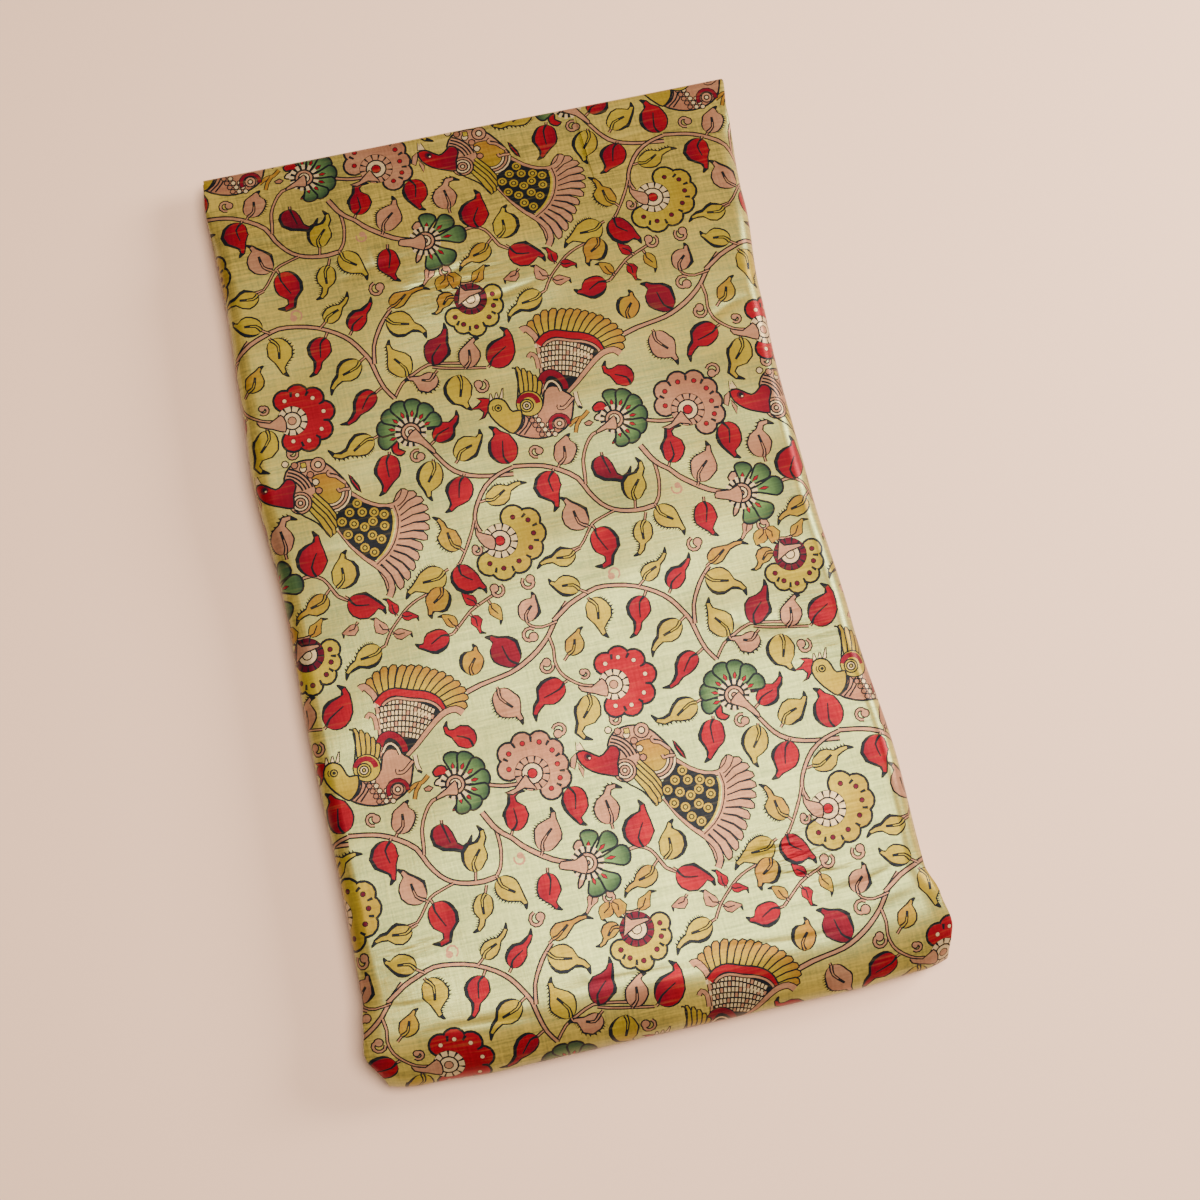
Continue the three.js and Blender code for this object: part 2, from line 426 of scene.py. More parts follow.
    def draw_rib(self, art: Drawing, end: Array, body: Array, neck: Array, small: bool) -> None:
        """Draws the curved rib inside the leaf.

        Args:
            art: Drawing that takes it.
            end: Stem end of the body.
            body: Middle of the body.
            neck: Place where the tail starts.
            small: Whether the leaf is a small one.
        """
        way = (neck - body) / max(np.linalg.norm(neck - body), 1e-6)
        side = np.array([-way[1], way[0]]) * (0.1 * self.width * (1 if self.bend <= 0 else -1))
        middle = (end + body) / 2 + side
        stop = body + (neck - body) * 0.42 - side * 0.6
        rib = spline([tuple(end), tuple(middle), tuple(stop)], 1 if small else 2)
        if small or self.ink in (RED, DEEP):
            art.stroke(rib, np.linspace(1.0 if small else 1.8, 0.8, len(rib)), LINE)
        else:
            art.stroke(rib, np.linspace(3.2, 1.7, len(rib)), LINE)
            art.stroke(rib[:-1], np.linspace(0.9, 0.5, len(rib) - 1), self.ink)


@dataclass(frozen=True)
class Curl:
    """Hooked tendril that ends in a round head."""

    x: float
    y: float
    radius: float
    start: float
    turn: float
    lined: bool = True

    def draw(self, art: Drawing) -> None:
        """Draws the tendril.

        Args:
            art: Drawing that takes it.
        """
        count = art.steps(8) + 1
        share = np.linspace(0, 1, count)
        angle = np.radians(self.start + self.turn * 285 * share)
        reach = self.radius * (0.92 - 0.42 * share)
        path = np.stack([self.x + reach * np.cos(angle), self.y + reach * np.sin(angle)], axis=1)
        widths = 1.0 + 0.16 * self.radius * share
        head = (*path[-1], 0.5 * self.radius)
        if self.lined:
            art.stroke(path, widths + 1.8, LINE)
            art.disc(head[0], head[1], head[2] + 0.9, LINE)
        art.stroke(path, widths, PINK)
        art.disc(*head, PINK)


@dataclass(frozen=True)
class Vine:
    """Stem with a dark line along each side."""

    width: float
    path: Points

    def draw(self, art: Drawing) -> None:
        """Draws the stem.

        Args:
            art: Drawing that takes it.
        """
        line = spline(self.path, art.steps(2))
        share = np.linspace(0, 1, len(line))
        width = self.width * (1 + 0.12 * np.sin(share * 11 + self.path[0][0]))
        art.piped(line, width, PINK, 0.8 if self.width > 1.2 else 0.65)


@dataclass(frozen=True)
class ScallopFlower:
    """Flower of round lobes with spots, round a ringed centre, on a trumpet."""

    x: float
    y: float
    ink: Ink
    wash_ink: Ink
    spot: Ink
    eye: Ink
    ring: Ink
    ring_radius: float
    lobe_radius: float
    lobes: tuple[tuple[float, float], ...]
    trumpet: Points

    def draw(self, art: Drawing) -> None:
        """Draws the flower.

        Args:
            art: Drawing that takes it.
        """
        places = []
        for angle, reach in self.lobes:
            turn = math.radians(angle)
            places.append((self.x + (reach - 0.6) * math.cos(turn), self.y + (reach - 0.6) * math.sin(turn)))
        fan = np.array([(self.x, self.y), *places])
        middle = np.mean(np.array(places), axis=0)
        wash = Wash(self.wash_ink, (self.x, self.y), tuple(middle + (middle - (self.x, self.y)) * 1.2))
        for px, py in places:
            art.disc(px, py, self.lobe_radius + 1.5, LINE)
        for px, py in places:
            count = max(7, round(11 * art.fineness))
            art.fill(arc(px, py, self.lobe_radius, 0, 360 * (1 - 1 / count), count - 1), self.ink, wash)
        art.fill(fan, self.ink, wash)
        for (ax, ay), (bx, by) in zip(places, places[1:]):
            joint = np.array([(ax + bx) / 2, (ay + by) / 2])
            way = joint - (self.x, self.y)
            way /= np.linalg.norm(way)
            start = joint + way * self.lobe_radius * 0.62
            art.stroke([start, start - way * 3.6], [2.0, 1.4], LINE)
        for px, py in places:
            art.disc(px, py, 1.9, LINE if self.spot is not CREAM else DEEP)
            art.disc(px, py, 1.35, self.spot)
        self.draw_centre(art)
        art.blob(self.trumpet, PINK, 0.8)

    def draw_centre(self, art: Drawing) -> None:
        """Draws the ringed centre.

        Args:
            art: Drawing that takes it.
        """
        radius = self.ring_radius
        art.disc(self.x, self.y, radius + 0.6, LINE)
        count = round(13 * radius / 11)
        for k in range(count):
            out, across = ways_at(360 * k / count)
            base = np.array([self.x, self.y]) + out * radius * 0.66
            top = np.array([self.x, self.y]) + out * (radius + 0.1)
            half = math.pi * radius / count * 0.72
            art.fill([base - across * half * 0.8, top - across * half, top + across * half,
                base + across * half * 0.8], self.ring)
        art.target(self.x, self.y, radius * 0.66, (CREAM, PINK))
        art.disc(self.x, self.y, radius * 0.26, self.eye)


@dataclass(frozen=True)
class FanFlower:
    """Half flower of green petals with red tears, round a ringed centre."""

    x: float
    y: float
    ring_radius: float
    petals: tuple[tuple[float, float, float], ...]
    sepals: tuple[tuple[Ink, Points], ...]
    trumpet: Points

    def draw(self, art: Drawing) -> None:
        """Draws the flower.

        Args:
            art: Drawing that takes it.
        """
        hub = np.array([self.x, self.y])
        for ink, points in self.sepals:
            art.blob(points, ink, 1.0)
        for angle, reach, width in self.petals:
            out, across = ways_at(angle)
            rows = ((0.22, 0.16), (0.55, 0.62), (0.8, 1.0), (0.97, 0.72))
            left = [tuple(hub + out * reach * r + across * width / 2 * w) for r, w in rows]
            right = [tuple(hub + out * reach * r - across * width / 2 * w) for r, w in reversed(rows)]
            wash = Wash(DARK_GREEN, tuple(hub + out * reach * 0.45), tuple(hub + out * reach * 1.08))
            art.blob([*left, tuple(hub + out * reach * 1.03), *right], LEAF_GREEN, 1.1, wash)
            tear = spline([tuple(hub + out * reach * 0.4), tuple(hub + out * reach * 0.56 + across * 1.5),
                tuple(hub + out * reach * 0.68), tuple(hub + out * reach * 0.56 - across * 1.5)], 1,
                closed=True)
            art.edged(tear, RED, 0.55)
        radius = self.ring_radius
        art.disc(self.x, self.y, radius, LINE)
        count = round(14 * radius / 10)
        for k in range(count):
            out, across = ways_at(360 * k / count)
            base = hub + out * radius * 0.7
            top = hub + out * (radius + 0.5)
            half = math.pi * radius / count * 0.55
            art.fill([base - across * half * 0.7, top - across * half, top + across * half,
                base + across * half * 0.7], CREAM)
        art.target(self.x, self.y, radius * 0.68, (PINK, CREAM, PINK))
        art.blob(self.trumpet, PINK, 0.8)


def feather_fan(
    art: Drawing, roots: Array, tips: Array, width: float, ink: Ink, wash_ink: Ink, sway: float
) -> None:
    """Draws feathers side by side, the first one lowest.

    Args:
        art: Drawing that takes them.
        roots: Places where the feathers start.
        tips: Their tips.
        width: Width of a feather near its tip.
        ink: Their paste.
        wash_ink: Paste that their tips turn into.
        sway: Sideways bow of each feather, as a share of its length.
    """
    for root, tip in zip(roots, tips):
        way = tip - root
        length = float(np.linalg.norm(way))
        out = way / length
        across = np.array([-out[1], out[0]])
        bow = across * sway * length
        rows = ((0.0, 0.34, 0.0), (0.5, 0.46, 0.9), (0.86, 0.5, 0.5))
        left = [root + way * r + across * width * w + bow * b for r, w, b in rows]
        right = [root + way * r - across * width * w + bow * b for r, w, b in reversed(rows)]
        edge = np.array([*left, tip + across * width * 0.25, tip - across * width * 0.25, *right])
        art.edged(edge, ink, 0.8, Wash(wash_ink, tuple(root), tuple(tip)))


@dataclass(frozen=True)
class TailBird:
    """Bird with a mustard head and a tall tail of brick scales and mustard feathers."""

    art: Drawing

    def draw(self) -> None:
        """Draws the bird."""
        self.draw_tail()
        self.draw_body()
        self.draw_wing()
        self.draw_head()

    def draw_tail(self) -> None:
        """Draws the feathers, the red band and the brick scales."""
        art = self.art
        rim = spline([(21, 145), (27, 148), (34, 148), (41, 145), (48, 143), (54, 140), (58, 135.5),
            (60.5, 129)], 4)
        tips = spline([(18, 160), (25, 164), (33, 165.5), (41, 163.5), (48, 162), (54, 160), (60, 156.5),
            (66, 153), (71.5, 148), (76, 142), (78, 135.5), (76, 129)], 4)
        feather_fan(art, spread(rim, 15), spread(tips, 15), 6.2, MUSTARD, OCHRE, 0.05)
        art.pipe([(16, 106), (17.5, 118), (19.5, 132), (19.8, 145), (17.5, 151), (14, 155), (11, 154)],
            (2.2, 4.2), PINK)
        art.pipe([(16.5, 126), (16.5, 134), (13.5, 137), (11.5, 134.5)], 2.4, PINK, 0.5)
        band = spline([(20, 142), (26, 146.5), (33, 147.2), (41, 144.2), (48, 142.2), (54, 139.2),
            (58, 134.6), (60, 127.5)], 2)
        field = np.vstack([band, spline([(52, 122.5), (44, 116), (36, 109), (30, 106), (22, 107), (17.5, 114),
            (19, 128)], 1)])
        art.fill(field, LINE)
        self.draw_bricks()
        art.stroke(band, 6.4, LINE)
        art.stroke(band, 4.2, RED)
        inner = band + np.array([0.1, -3.9])
        art.piped(inner[1:-1], 1.3, PINK, 0.6)
        art.pipe([(32, 106), (39, 111), (46, 117), (54, 123.5), (61, 127.5), (68, 128), (72, 124.5)],
            (2.0, 4.0), PINK)

    def draw_bricks(self) -> None:
        """Draws the tail's pale bricks in rows round its root."""
        art = self.art
        pivot = np.array([23.0, 84.0])
        for row in range(7):
            radius = 36.5 + 3.55 * row
            count = 11 + row
            for k in range(count):
                share = (k + 0.5 + 0.5 * (row % 2)) / (count + 0.5)
                out, across = ways_at(96 - 42 * share)
                reach = radius - (5.0 * max(0.0, share - 0.45) if row > 4 else 0.0)
                spot = pivot + out * reach
                half = 42 / (count + 0.5) * math.pi / 360 * reach * 0.66
                up = out * 1.3
                side = across * half
                art.fill([spot - side - up, spot + side - up, spot + side + up, spot - side + up],
                    PINK if (2 * k + row) % 5 == 0 else CREAM)

    def draw_body(self) -> None:
        """Draws the body with its collar, scales, rings, hip band and feet."""
        art = self.art
        art.pipe([(27, 83), (33, 86.5), (37.5, 87), (42, 90.5)], 1.9, OCHRE, 0.5)
        art.pipe([(36, 86.5), (32.5, 82.5), (30.5, 77.5)], 1.8, OCHRE, 0.5)
        art.edged(spline([(37, 83), (41, 84.5), (44, 82), (41, 79.8), (38, 80.5)], 1, closed=True), ROSE, 0.8)
        art.piped([(36.5, 105), (36.5, 98.5), (37.5, 94.5)], 2.2, CREAM, 0.5)
        art.stroke([(36.2, 95), (38.8, 93)], 2.0, LINE)
        art.blob([(0, 99), (6, 98), (13, 101), (15.5, 109), (20, 113), (26, 112), (30, 107.5), (35, 102),
            (33, 93), (29, 84.5), (20, 79.2), (10, 77.8), (0, 79.8), (-9.5, 85.5), (-4, 90)], PINK, 1.1,
            Wash(ROSE, (20, 105), (16, 80)))
        hip = spline([(15.5, 115.5), (18.5, 120), (23, 121.5), (28, 118.5), (31, 112.5), (31, 108.5)], 2)
        art.stroke(hip, np.linspace(6.2, 5.0, len(hip)), LINE)
        art.stroke(hip, np.linspace(4.8, 3.4, len(hip)), DEEP)
        art.pipe([(17, 111), (20, 115), (23.5, 115.5), (26.5, 112), (27.5, 107.5)], 1.2, CREAM)
        for k in range(3):
            shift = 2.9 * k
            art.stroke(spline([(0.5 + shift, 98.5), (-0.5 + shift, 93), (-3.5 + shift, 88.5),
                (-9 + shift * 1.05, 85.6 - 1.1 * k)], 2), 1.1, LINE)
        for row in range(5):
            for column in range(2 + (row > 1)):
                x = 6.6 + 4.3 * column + 0.5 * row - 0.9 * (4 - row)
                y = 95.6 - 3.6 * row - 0.8 * column
                art.edged(arc(x, y, 2.2, 20, 340, 6), CREAM if column else ROSE, 0.65)
        art.stroke(arc(21.5, 85.5, 6.3, -15, 205, 8), 3.4, LINE)
        art.stroke(arc(21.5, 85.5, 6.3, -10, 200, 8), 2.1, DEEP)
        art.target(21.5, 86, 4.3, (PINK, CREAM))
        art.pipe([(34.5, 101.5), (31, 98.5), (27, 96), (23.5, 96.5), (24, 98.6)], 1.5, PINK)

    def draw_wing(self) -> None:
        """Draws the raised wing and its ringed joint."""
        art = self.art
        roots = np.array([(9.5, 103), (8.0, 104), (6.0, 105), (3.5, 105), (1.0, 105)])
        tips = np.array([(15.5, 118), (12.8, 122.5), (9.8, 126), (6.4, 128.6), (2.6, 130.5)])
        feather_fan(art, roots, tips, 4.6, MUSTARD, GOLD, -0.04)
        art.stroke(spline([(-2.2, 101), (-1.6, 109), (0.6, 117), (2.0, 126), (0.8, 129.6), (-1.0, 130)], 2),
            1.3, LINE)
        art.disc(5.2, 103.6, 9.2, LINE)
        art.disc(5.2, 103.6, 8.3, MUSTARD)
        art.stroke(arc(4.6, 103.4, 6.4, -5, 165, 8), 3.4, DEEP)
        art.target(3.2, 102.6, 4.9, (MUSTARD, CREAM, MUSTARD))

    def draw_head(self) -> None:
        """Draws the head, its eye, beak and crest."""
        art = self.art
        comb = np.array([(-19, 112.4), (-23.5, 114.4), (-28.6, 115), (-26, 112.3), (-29, 110), (-34, 107.6),
            (-28, 106.6), (-26, 104), (-27.4, 101.4), (-30.5, 99.2), (-25.5, 100), (-22, 104)])
        art.edged(comb, RED, 0.9, Wash(DEEP, (-22, 112), (-30, 101)))
        for x, y, tip_x, tip_y in ((-19, 111, -18.5, 116), (-15.5, 111.5, -14.5, 116),
            (-12.5, 111, -9.8, 118)):
            art.edged([(x - 1.6, y), (tip_x - 0.7, tip_y), (tip_x + 0.7, tip_y), (x + 1.9, y)], CREAM, 0.6)
        art.blob([(-20.5, 110.8), (-15, 112.4), (-10, 109.5), (-8, 104.5), (-6.5, 101.3), (-0.8, 100.8),
            (-1.2, 94), (-4.5, 88.6), (-9.8, 85.2), (-15, 89.5), (-20, 96), (-23.2, 104)], MUSTARD, 1.0,
            Wash(GOLD, (-16, 108), (-8, 86)))
        art.target(-15.6, 105, 2.7, (MUSTARD,))
        art.disc(-15.5, 105, 1.2, LINE)
        art.stroke(arc(-16.8, 105.2, 2.6, 130, 225, 3), 0.7, LINE)


@dataclass(frozen=True)
class FanBird:
    """Bird with a red head, a ringed mantle, a dark scaled tail and a fan of pink feathers."""

    art: Drawing

    def draw(self) -> None:
        """Draws the bird."""
        self.draw_fan()
        self.draw_tail()
        self.draw_mantle()
        self.draw_head()

    def draw_fan(self) -> None:
        """Draws the pink feathers."""
        art = self.art
        base = spline([(70, -161), (71, -169), (69, -177.5), (65, -185.5), (59, -192.5), (51, -197)], 4)
        tips = spline([(80, -152.5), (86, -156), (90, -163), (91, -171), (89.5, -179), (86.5, -187),
            (81, -194.5), (76.5, -202), (71, -209), (64.5, -215.5), (56, -219.5)], 4)
        feather_fan(art, spread(base, 13), spread(tips, 13), 6.6, PINK, PINK, 0.10)
        art.pipe([(31, -169), (37, -181), (44, -191), (50.5, -198), (56, -206), (57, -214), (54, -219.5)],
            (1.8, 3.6), PINK)
        art.pipe([(44, -147), (51, -154), (60, -159.5), (69, -161), (75.5, -157.5), (78.5, -152.5)],
            (2.0, 3.6), PINK)

    def draw_tail(self) -> None:
        """Draws the dark tail with its ring scales and the bands at its end."""
        art = self.art
        end = spline([(69.5, -161), (70.5, -169), (68.5, -177.5), (64.5, -185.5), (58.5, -192), (50.5, -197)],
            2)
        art.stroke(end, 3.2, PINK)
        art.stroke(end, 0.8, LINE)
        tail = spline([(43, -148), (51, -155), (60, -160), (66.5, -161.5), (67.5, -169), (65.5, -177),
            (61.5, -184.5), (56, -190.5), (49, -194.5), (42, -187), (36, -179), (31.5, -170), (31, -161),
            (36, -155)], art.steps(2), closed=True)
        art.fill(tail, LINE)
        art.stroke(end[1:-1] - np.array([2.8, -0.9]), 1.2, MUSTARD)
        for x, y in ((46.5, -154.5), (40.5, -159.5), (48.5, -161), (56, -162.6), (62, -165.5), (34.5, -164.5),
            (41.8, -167.5), (54, -168.5), (48, -171), (60.8, -173), (36.6, -173.6), (51.8, -177.4),
            (43, -177.6), (57, -181.2), (45.4, -184.4), (50.8, -188.6)):
            art.disc(x, y, 3.1, GOLD)
            art.disc(x, y, 1.9, LINE)
            art.disc(x, y, 1.1, MUSTARD)

    def draw_mantle(self) -> None:
        """Draws the back, the mantle's rings and the wing."""
        art = self.art
        art.blob([(3, -128), (8, -121), (15, -118.3), (24, -118.8), (32, -122.8), (38, -130), (43, -138.5),
            (45, -145), (41, -153), (33, -157.5), (25, -152), (16, -150), (8, -149.5), (3, -140)], PINK, 1.1)
        art.blob([(21, -131), (29, -129.5), (37, -132), (42, -139), (40.5, -145), (36.5, -151), (29, -153.5),
            (24, -148), (22, -140)], OCHRE, 0.7, Wash(GOLD, (30, -131), (30, -152)))
        art.edged(spline([(44.5, -133.8), (47, -136), (50.5, -143), (51, -148.5), (47.5, -145.5), (45, -140)],
            1, closed=True), RED, 1.2)
        for k in range(4):
            art.stroke(arc(1.5, -141, 12.6 + 2.3 * k, 76 - 2 * k, 10, 8), 1.25, LINE)
        for k in range(6):
            turn = math.radians(78 - 15.5 * k)
            art.edged(arc(1.5 + 22.6 * math.cos(turn), -141 + 22.6 * math.sin(turn), 2.8, 20, 340, 6),
                ROSE if k % 2 else CREAM, 0.7)
        art.edged([(15.6, -120), (19.6, -120), (19.8, -124), (15.8, -124)], MUSTARD, 0.7)
        art.target(27, -123.6, 5.4, (PINK, CREAM))
        art.pipe([(42, -139.5), (37, -134), (33, -132.5), (32, -130.5), (33.5, -129.6)], 1.5, PINK)
        for k, ink in enumerate((CREAM, PINK, CREAM)):
            art.piped(arc(31, -143.5, 8.6 + 2.2 * k, -112, -6, 6), 1.2, ink, 0.55)
        art.pipe([(44, -144), (40, -143.5), (37, -144), (36.4, -141.8)], 1.4, PINK)
        roots = np.array([(20.5, -142), (19, -144.5), (17.2, -147), (15.2, -149.5)])
        tips = np.array([(31, -163), (30.2, -168), (28.6, -171.4), (26, -172.8)])
        feather_fan(art, roots, tips, 5.2, MUSTARD, GOLD, 0.06)
        art.target(10.8, -146.4, 7.9, (PINK, CREAM, PINK, CREAM))
        art.stroke(spline([(6, -150), (12, -156), (19, -162), (25, -172)], 2), 1.2, LINE)

    def draw_head(self) -> None:
        """Draws the head, its eye, beak and crest."""
        art = self.art
        art.edged([(-16.5, -128), (-21.5, -131), (-23, -136.5), (-20, -139), (-17.5, -134)], PINK, 0.7)
        art.edged([(-17.5, -134), (-17.8, -139), (-16, -145.5), (-14, -140)], PINK, 0.6)
        art.edged([(-17, -127.5), (-16, -121), (-14.8, -124), (-13.2, -121.8), (-11, -128)], CREAM, 0.6)
        art.blob([(-17.5, -129), (-12.5, -127.4), (-8, -129.8), (-3, -133.4), (1, -131.6), (5, -128.4),
            (9.6, -130), (10.8, -135), (8, -141), (6.4, -149.2), (-2, -147), (-10, -142.8), (-16, -136.5)],
            RED, 1.0, Wash(DEEP, (-14, -130), (8, -142)))
        art.disc(-10.2, -132.8, 2.7, MAROON)
        art.disc(-10, -132.6, 1.5, LINE)
        art.disc(-9.4, -133.8, 0.7, CREAM)


LEAF_COLUMNS = ("x", "y", "tip_x", "tip_y", "stem_x", "stem_y", "width", "bend", "ink", "dark", "ticks")
# Millimetres on the cloth, x across it and y towards the head of the bundle.
LEAVES = (
    (102, -23, 124, -21, 93, -29, 12, 3, OCHRE, N, N),
    (100, -40, 114, -54, 90, -34, 17, 3.5, MUSTARD, R, N),
    (-34, 186, -45, 178.5, -27, 187, 11, 1, OCHRE, N, N),
    (-47, 153, -38, 171, -51, 143, 17, -2, DEEP, R, N),
    (-26, 145, -17, 155, -31, 136, 15, 3, PINK, N, L),
    (-5, 142, -3, 160, -16, 134, 19, -5, RED, L, N),
    (-38, 122, -32, 107, -36, 133, 18, -1.5, MUSTARD, R, N),
    (-58, 132, -72, 136, -49, 139, 14, -2, PINK, N, L),
    (-54, 97, -43, 110, -64, 90, 14, -2.5, RED, R, N),
    (-42, 83, -31, 94, -51, 74, 16, -3, MUSTARD, R, N),
    (-18, 78, -25, 94, -17, 66, 19, -1, RED, L, N),
    (21, 174, 4, 161, 33, 178, 15, -2.9, MUSTARD, L, R),
    (32, 190, 26.5, 197, 38, 187, 9, -2, PINK, N, N),
    (44.5, 183, 51, 179, 39, 185, 8, 1, ROSE, N, N),
    (51.5, 193.5, 57, 188.5, 47, 195, 7, 2, RED, N, N),
    (43, 201, 37, 208, 44, 195, 7.5, -1.5, RED, N, N),
    (82, -215, 64, -224, 95, -210, 18, 0, MUSTARD, N, R),
    (72, 200, 66, 188, 76, 207, 16, 0, OCHRE, L, N),
    (77, 184.5, 69, 188.5, 81, 178.5, 8.5, -1.5, OCHRE, N, N),
    (65, 174, 51.5, 175, 77, 176, 15, 0.5, RED, L, N),
    (92, 195, 91, 203, 97, 190, 8, 1, RED, N, N),
    (93.5, 180, 98, 171.5, 90, 186, 8, -1, RED, N, N),
    (85, 155, 87, 167, 83, 147, 15, -2, OCHRE, L, N),
    (69, 110, 61, 122, 74, 102, 15, 4.5, RED, N, N),
    (21, 67, 27, 78, 14, 57, 16, 1.5, PINK, N, R),
    (-52, 55, -65, 43, -47, 66, 17, 2, RED, R, N),
    (-66, 25, -74, 42, -58, 15, 15, 0, GOLD, N, L),
    (-28, 47, -8, 51, -41, 45, 15, 2, MUSTARD, N, L),
    (-47, -27.5, -46, -37.5, -50, -20, 9, 1.5, GOLD, N, N),
    (-26, -31, -22, -20, -29, -40, 14, -2, PINK, R, N),
    (-47, -55, -58, -43, -40, -65, 19, 0, DEEP, R, N),
    (-61, -3, -50, -15.5, -64, 8, 17, 1, RED, R, N),
    (5, 46, 4, 28, 11, 57, 17, 3, RED, R, N),
    (17, 22, 10, 37, 25, 13, 17, -2, PINK, R, N),
    (4, -3, -15, -7, 16, 1, 13, 0, MUSTARD, R, N),
    (2, -21, -9, -14, 14, -29, 14, 2.3, MUSTARD, L, N),
    (18, -43, 21, -61, 13, -32, 17, 0, MUSTARD, N, L),
    (-2, -60, 6, -50, -11, -69, 13, 1.5, GOLD, N, N),
    (43, 50, 61, 48, 44, 61, 14, -7, DEEP, R, N),
    (60, 34, 64.5, 53, 57, 19, 16, -4, MUSTARD, L, N),
    (91, 53, 100, 67, 85, 42, 16, 6, RED, L, N),
    (32, 1, 22, -13, 27, 14, 18, 6.5, RED, L, N),
    (58, 2, 48, -12, 63, 15, 14, 3, MUSTARD, N, R),
    (76, 9, 84, -6, 70, 19, 16, 1, MUSTARD, N, R),
    (57, -24, 69.5, -10, 47, -32, 12, -1, MUSTARD, N, L),
    (72, -32, 84, -17, 65, -41, 13, -2, RED, L, N),
    (44, -47, 33, -64, 51, -36, 15, 3, RED, R, N),
    (60, -65, 45, -80, 72, -58, 15, -1, MUSTARD, R, N),
    (93, -67, 90, -49, 97, -79, 17, 1, MUSTARD, N, L),
    (-53, -88, -46, -104, -57, -76, 18, 1.5, PINK, N, R),
    (-24, -87, -37, -104, -12, -82, 17, -3, RED, R, N),
    (-3, -104, -4, -123, 0, -91, 17, -7, MUSTARD, R, N),
    (-24, -159, -20, -175, -27, -147, 17, -3, RED, R, N),
    (-6, -167, 7, -157, -5, -181, 17, 6, PINK, N, L),
    (-46, -175, -41, -158, -53, -187, 18, -1, PINK, N, L),
    (-53, -208, -47, -223, -51, -195, 16, 0, RED, N, R),
    (11, -185, 14, -166, 11, -196, 19, -3, RED, L, N),
    (8, -215, -8, -225, 18, -206, 14, 0, GOLD, N, R),
    (66, -88, 46, -100, 78, -81, 14, 3.5, RED, R, N),
    (57, -117, 35, -115, 69, -113, 15, 5, MUSTARD, R, L),
    (71, -137, 61, -153, 74, -125, 17, 1, RED, R, N),
    (97, -147, 95, -164, 101, -136, 17, 0, MUSTARD, R, N),
    (29, -198, 34, -183, 22, -207, 17, 1, MUSTARD, R, N),
    (36, -222, 49.5, -230.5, 26, -213, 17, 3.5, RED, L, N),
    (26, -236, 20, -240, 31, -231, 8, 0, ROSE, N, N),
    (-8.5, 198, 1, 203, -14, 194, 9, 1, OCHRE, N, N),
    (-21, -229.5, -22, -236.5, -18, -225, 10, 0, OCHRE, N, N),
    (-12, -229.5, -11, -236.5, -16, -225, 10, 0, OCHRE, N, N),
    (-28, -221, -38, -229, -24, -216, 8, 2, PINK, N, N),
)

CURLS = (
    Curl(-23, 122, 5.0, 60, -1),
    Curl(2, 71, 4.6, -80, -1),
    Curl(-50, 14, 3.6, 40, -1),
    Curl(-43, -15, 5.0, 50, -1),
    Curl(-22, -14, 5.0, 130, 1),
    Curl(-29, -48, 5.4, 40, 1),
    Curl(-23, -70, 5.0, 0, -1),
    Curl(87, 26, 4.4, 150, 1, False),
    Curl(89, -13, 5.2, 100, 1),
    Curl(33, -20, 4.8, -60, 1, False),
    Curl(-24, -112, 5.0, 160, -1),
    Curl(91, -132, 4.8, 60, 1),
    Curl(12, -113, 4.2, 40, -1),
    Curl(-17, -222, 4.2, 150, 1),
    Curl(0, -80, 3.4, -150, 1),
)

VINES = (
    Vine(1.0, [(85, -90), (92, -81), (101, -76), (111, -72), (121, -73), (131, -75), (143, -78)]),
    Vine(1.8, [(96, -121), (101, -130), (107, -140), (113, -147), (122, -152), (134, -155), (150, -157)]),
    Vine(1.9, [(-15, 64), (-5, 62.5), (5, 60), (15, 55), (25, 47), (30, 36), (36, 27), (43, 21.5), (52, 18.5),
               (62, 17.5), (70, 18.5)]),
    Vine(1.2, [(70, 18.5), (74, 24), (76.5, 34), (76.5, 44), (75, 51)]),
    Vine(1.6, [(-15, 63.5), (-25, 61), (-35, 55), (-42, 46), (-46, 38), (-47, 31), (-45, 25)]),
    Vine(0.9, [(-68, 2), (-61, 10), (-55, 19), (-50, 28), (-47.5, 34)]),
    Vine(2.0, [(77, 137), (86, 139.5), (95, 141), (107, 143), (117, 147), (127, 153), (136, 161),
               (143.5, 171), (153, 180)]),
    Vine(1.8, [(-12, -42), (0, -34), (10, -30), (20, -27), (32, -28), (45, -31.5), (57, -38), (65, -45),
               (71, -54), (75, -62), (77, -72), (80, -82), (85, -90)]),
    Vine(1.0, [(-17, -52), (-16, -60), (-17, -68), (-15, -76), (-10, -82), (-3, -87), (4, -89)]),
    Vine(2.2, [(70, 60), (75, 50), (80, 44), (85, 40), (90, 34), (97, 28), (107, 21), (117, 17), (127, 15)]),
    Vine(0.8, [(0, -2), (8, 1), (16, 2), (22, 9), (27, 15), (34, 18), (43, 20.5)]),
    Vine(1.4, [(77, -64), (79, -52), (84, -42), (89, -35), (95, -29)]),
    Vine(1.2, [(0, -196), (8, -195), (15, -199), (19, -206), (22, -212), (28, -216)]),
    Vine(0.8, [(33, 178), (38, 186), (45, 193), (52, 199), (60, 203), (67, 205)]),
    Vine(0.9, [(77, 176), (84, 182), (91, 188), (100, 192), (110, 196)]),
    Vine(1.2, [(50, 76), (41, 74), (35, 67), (31, 58), (30, 49), (29, 42)]),
    Vine(1.4, [(78, 76), (86, 73.5), (94, 72.5), (101, 73.5)]),
    Vine(0.9, [(-21, 190), (-23, 196), (-26, 200)]),
    Vine(0.8, [(-22, 195), (-17, 194), (-12, 195)]),
    Vine(0.8, [(-29, -38), (-27, -42), (-20, -44.5), (-10, -43)]),
    Vine(0.8, [(-52, 142), (-46, 140), (-38, 138), (-28, 136), (-17, 134)]),
)

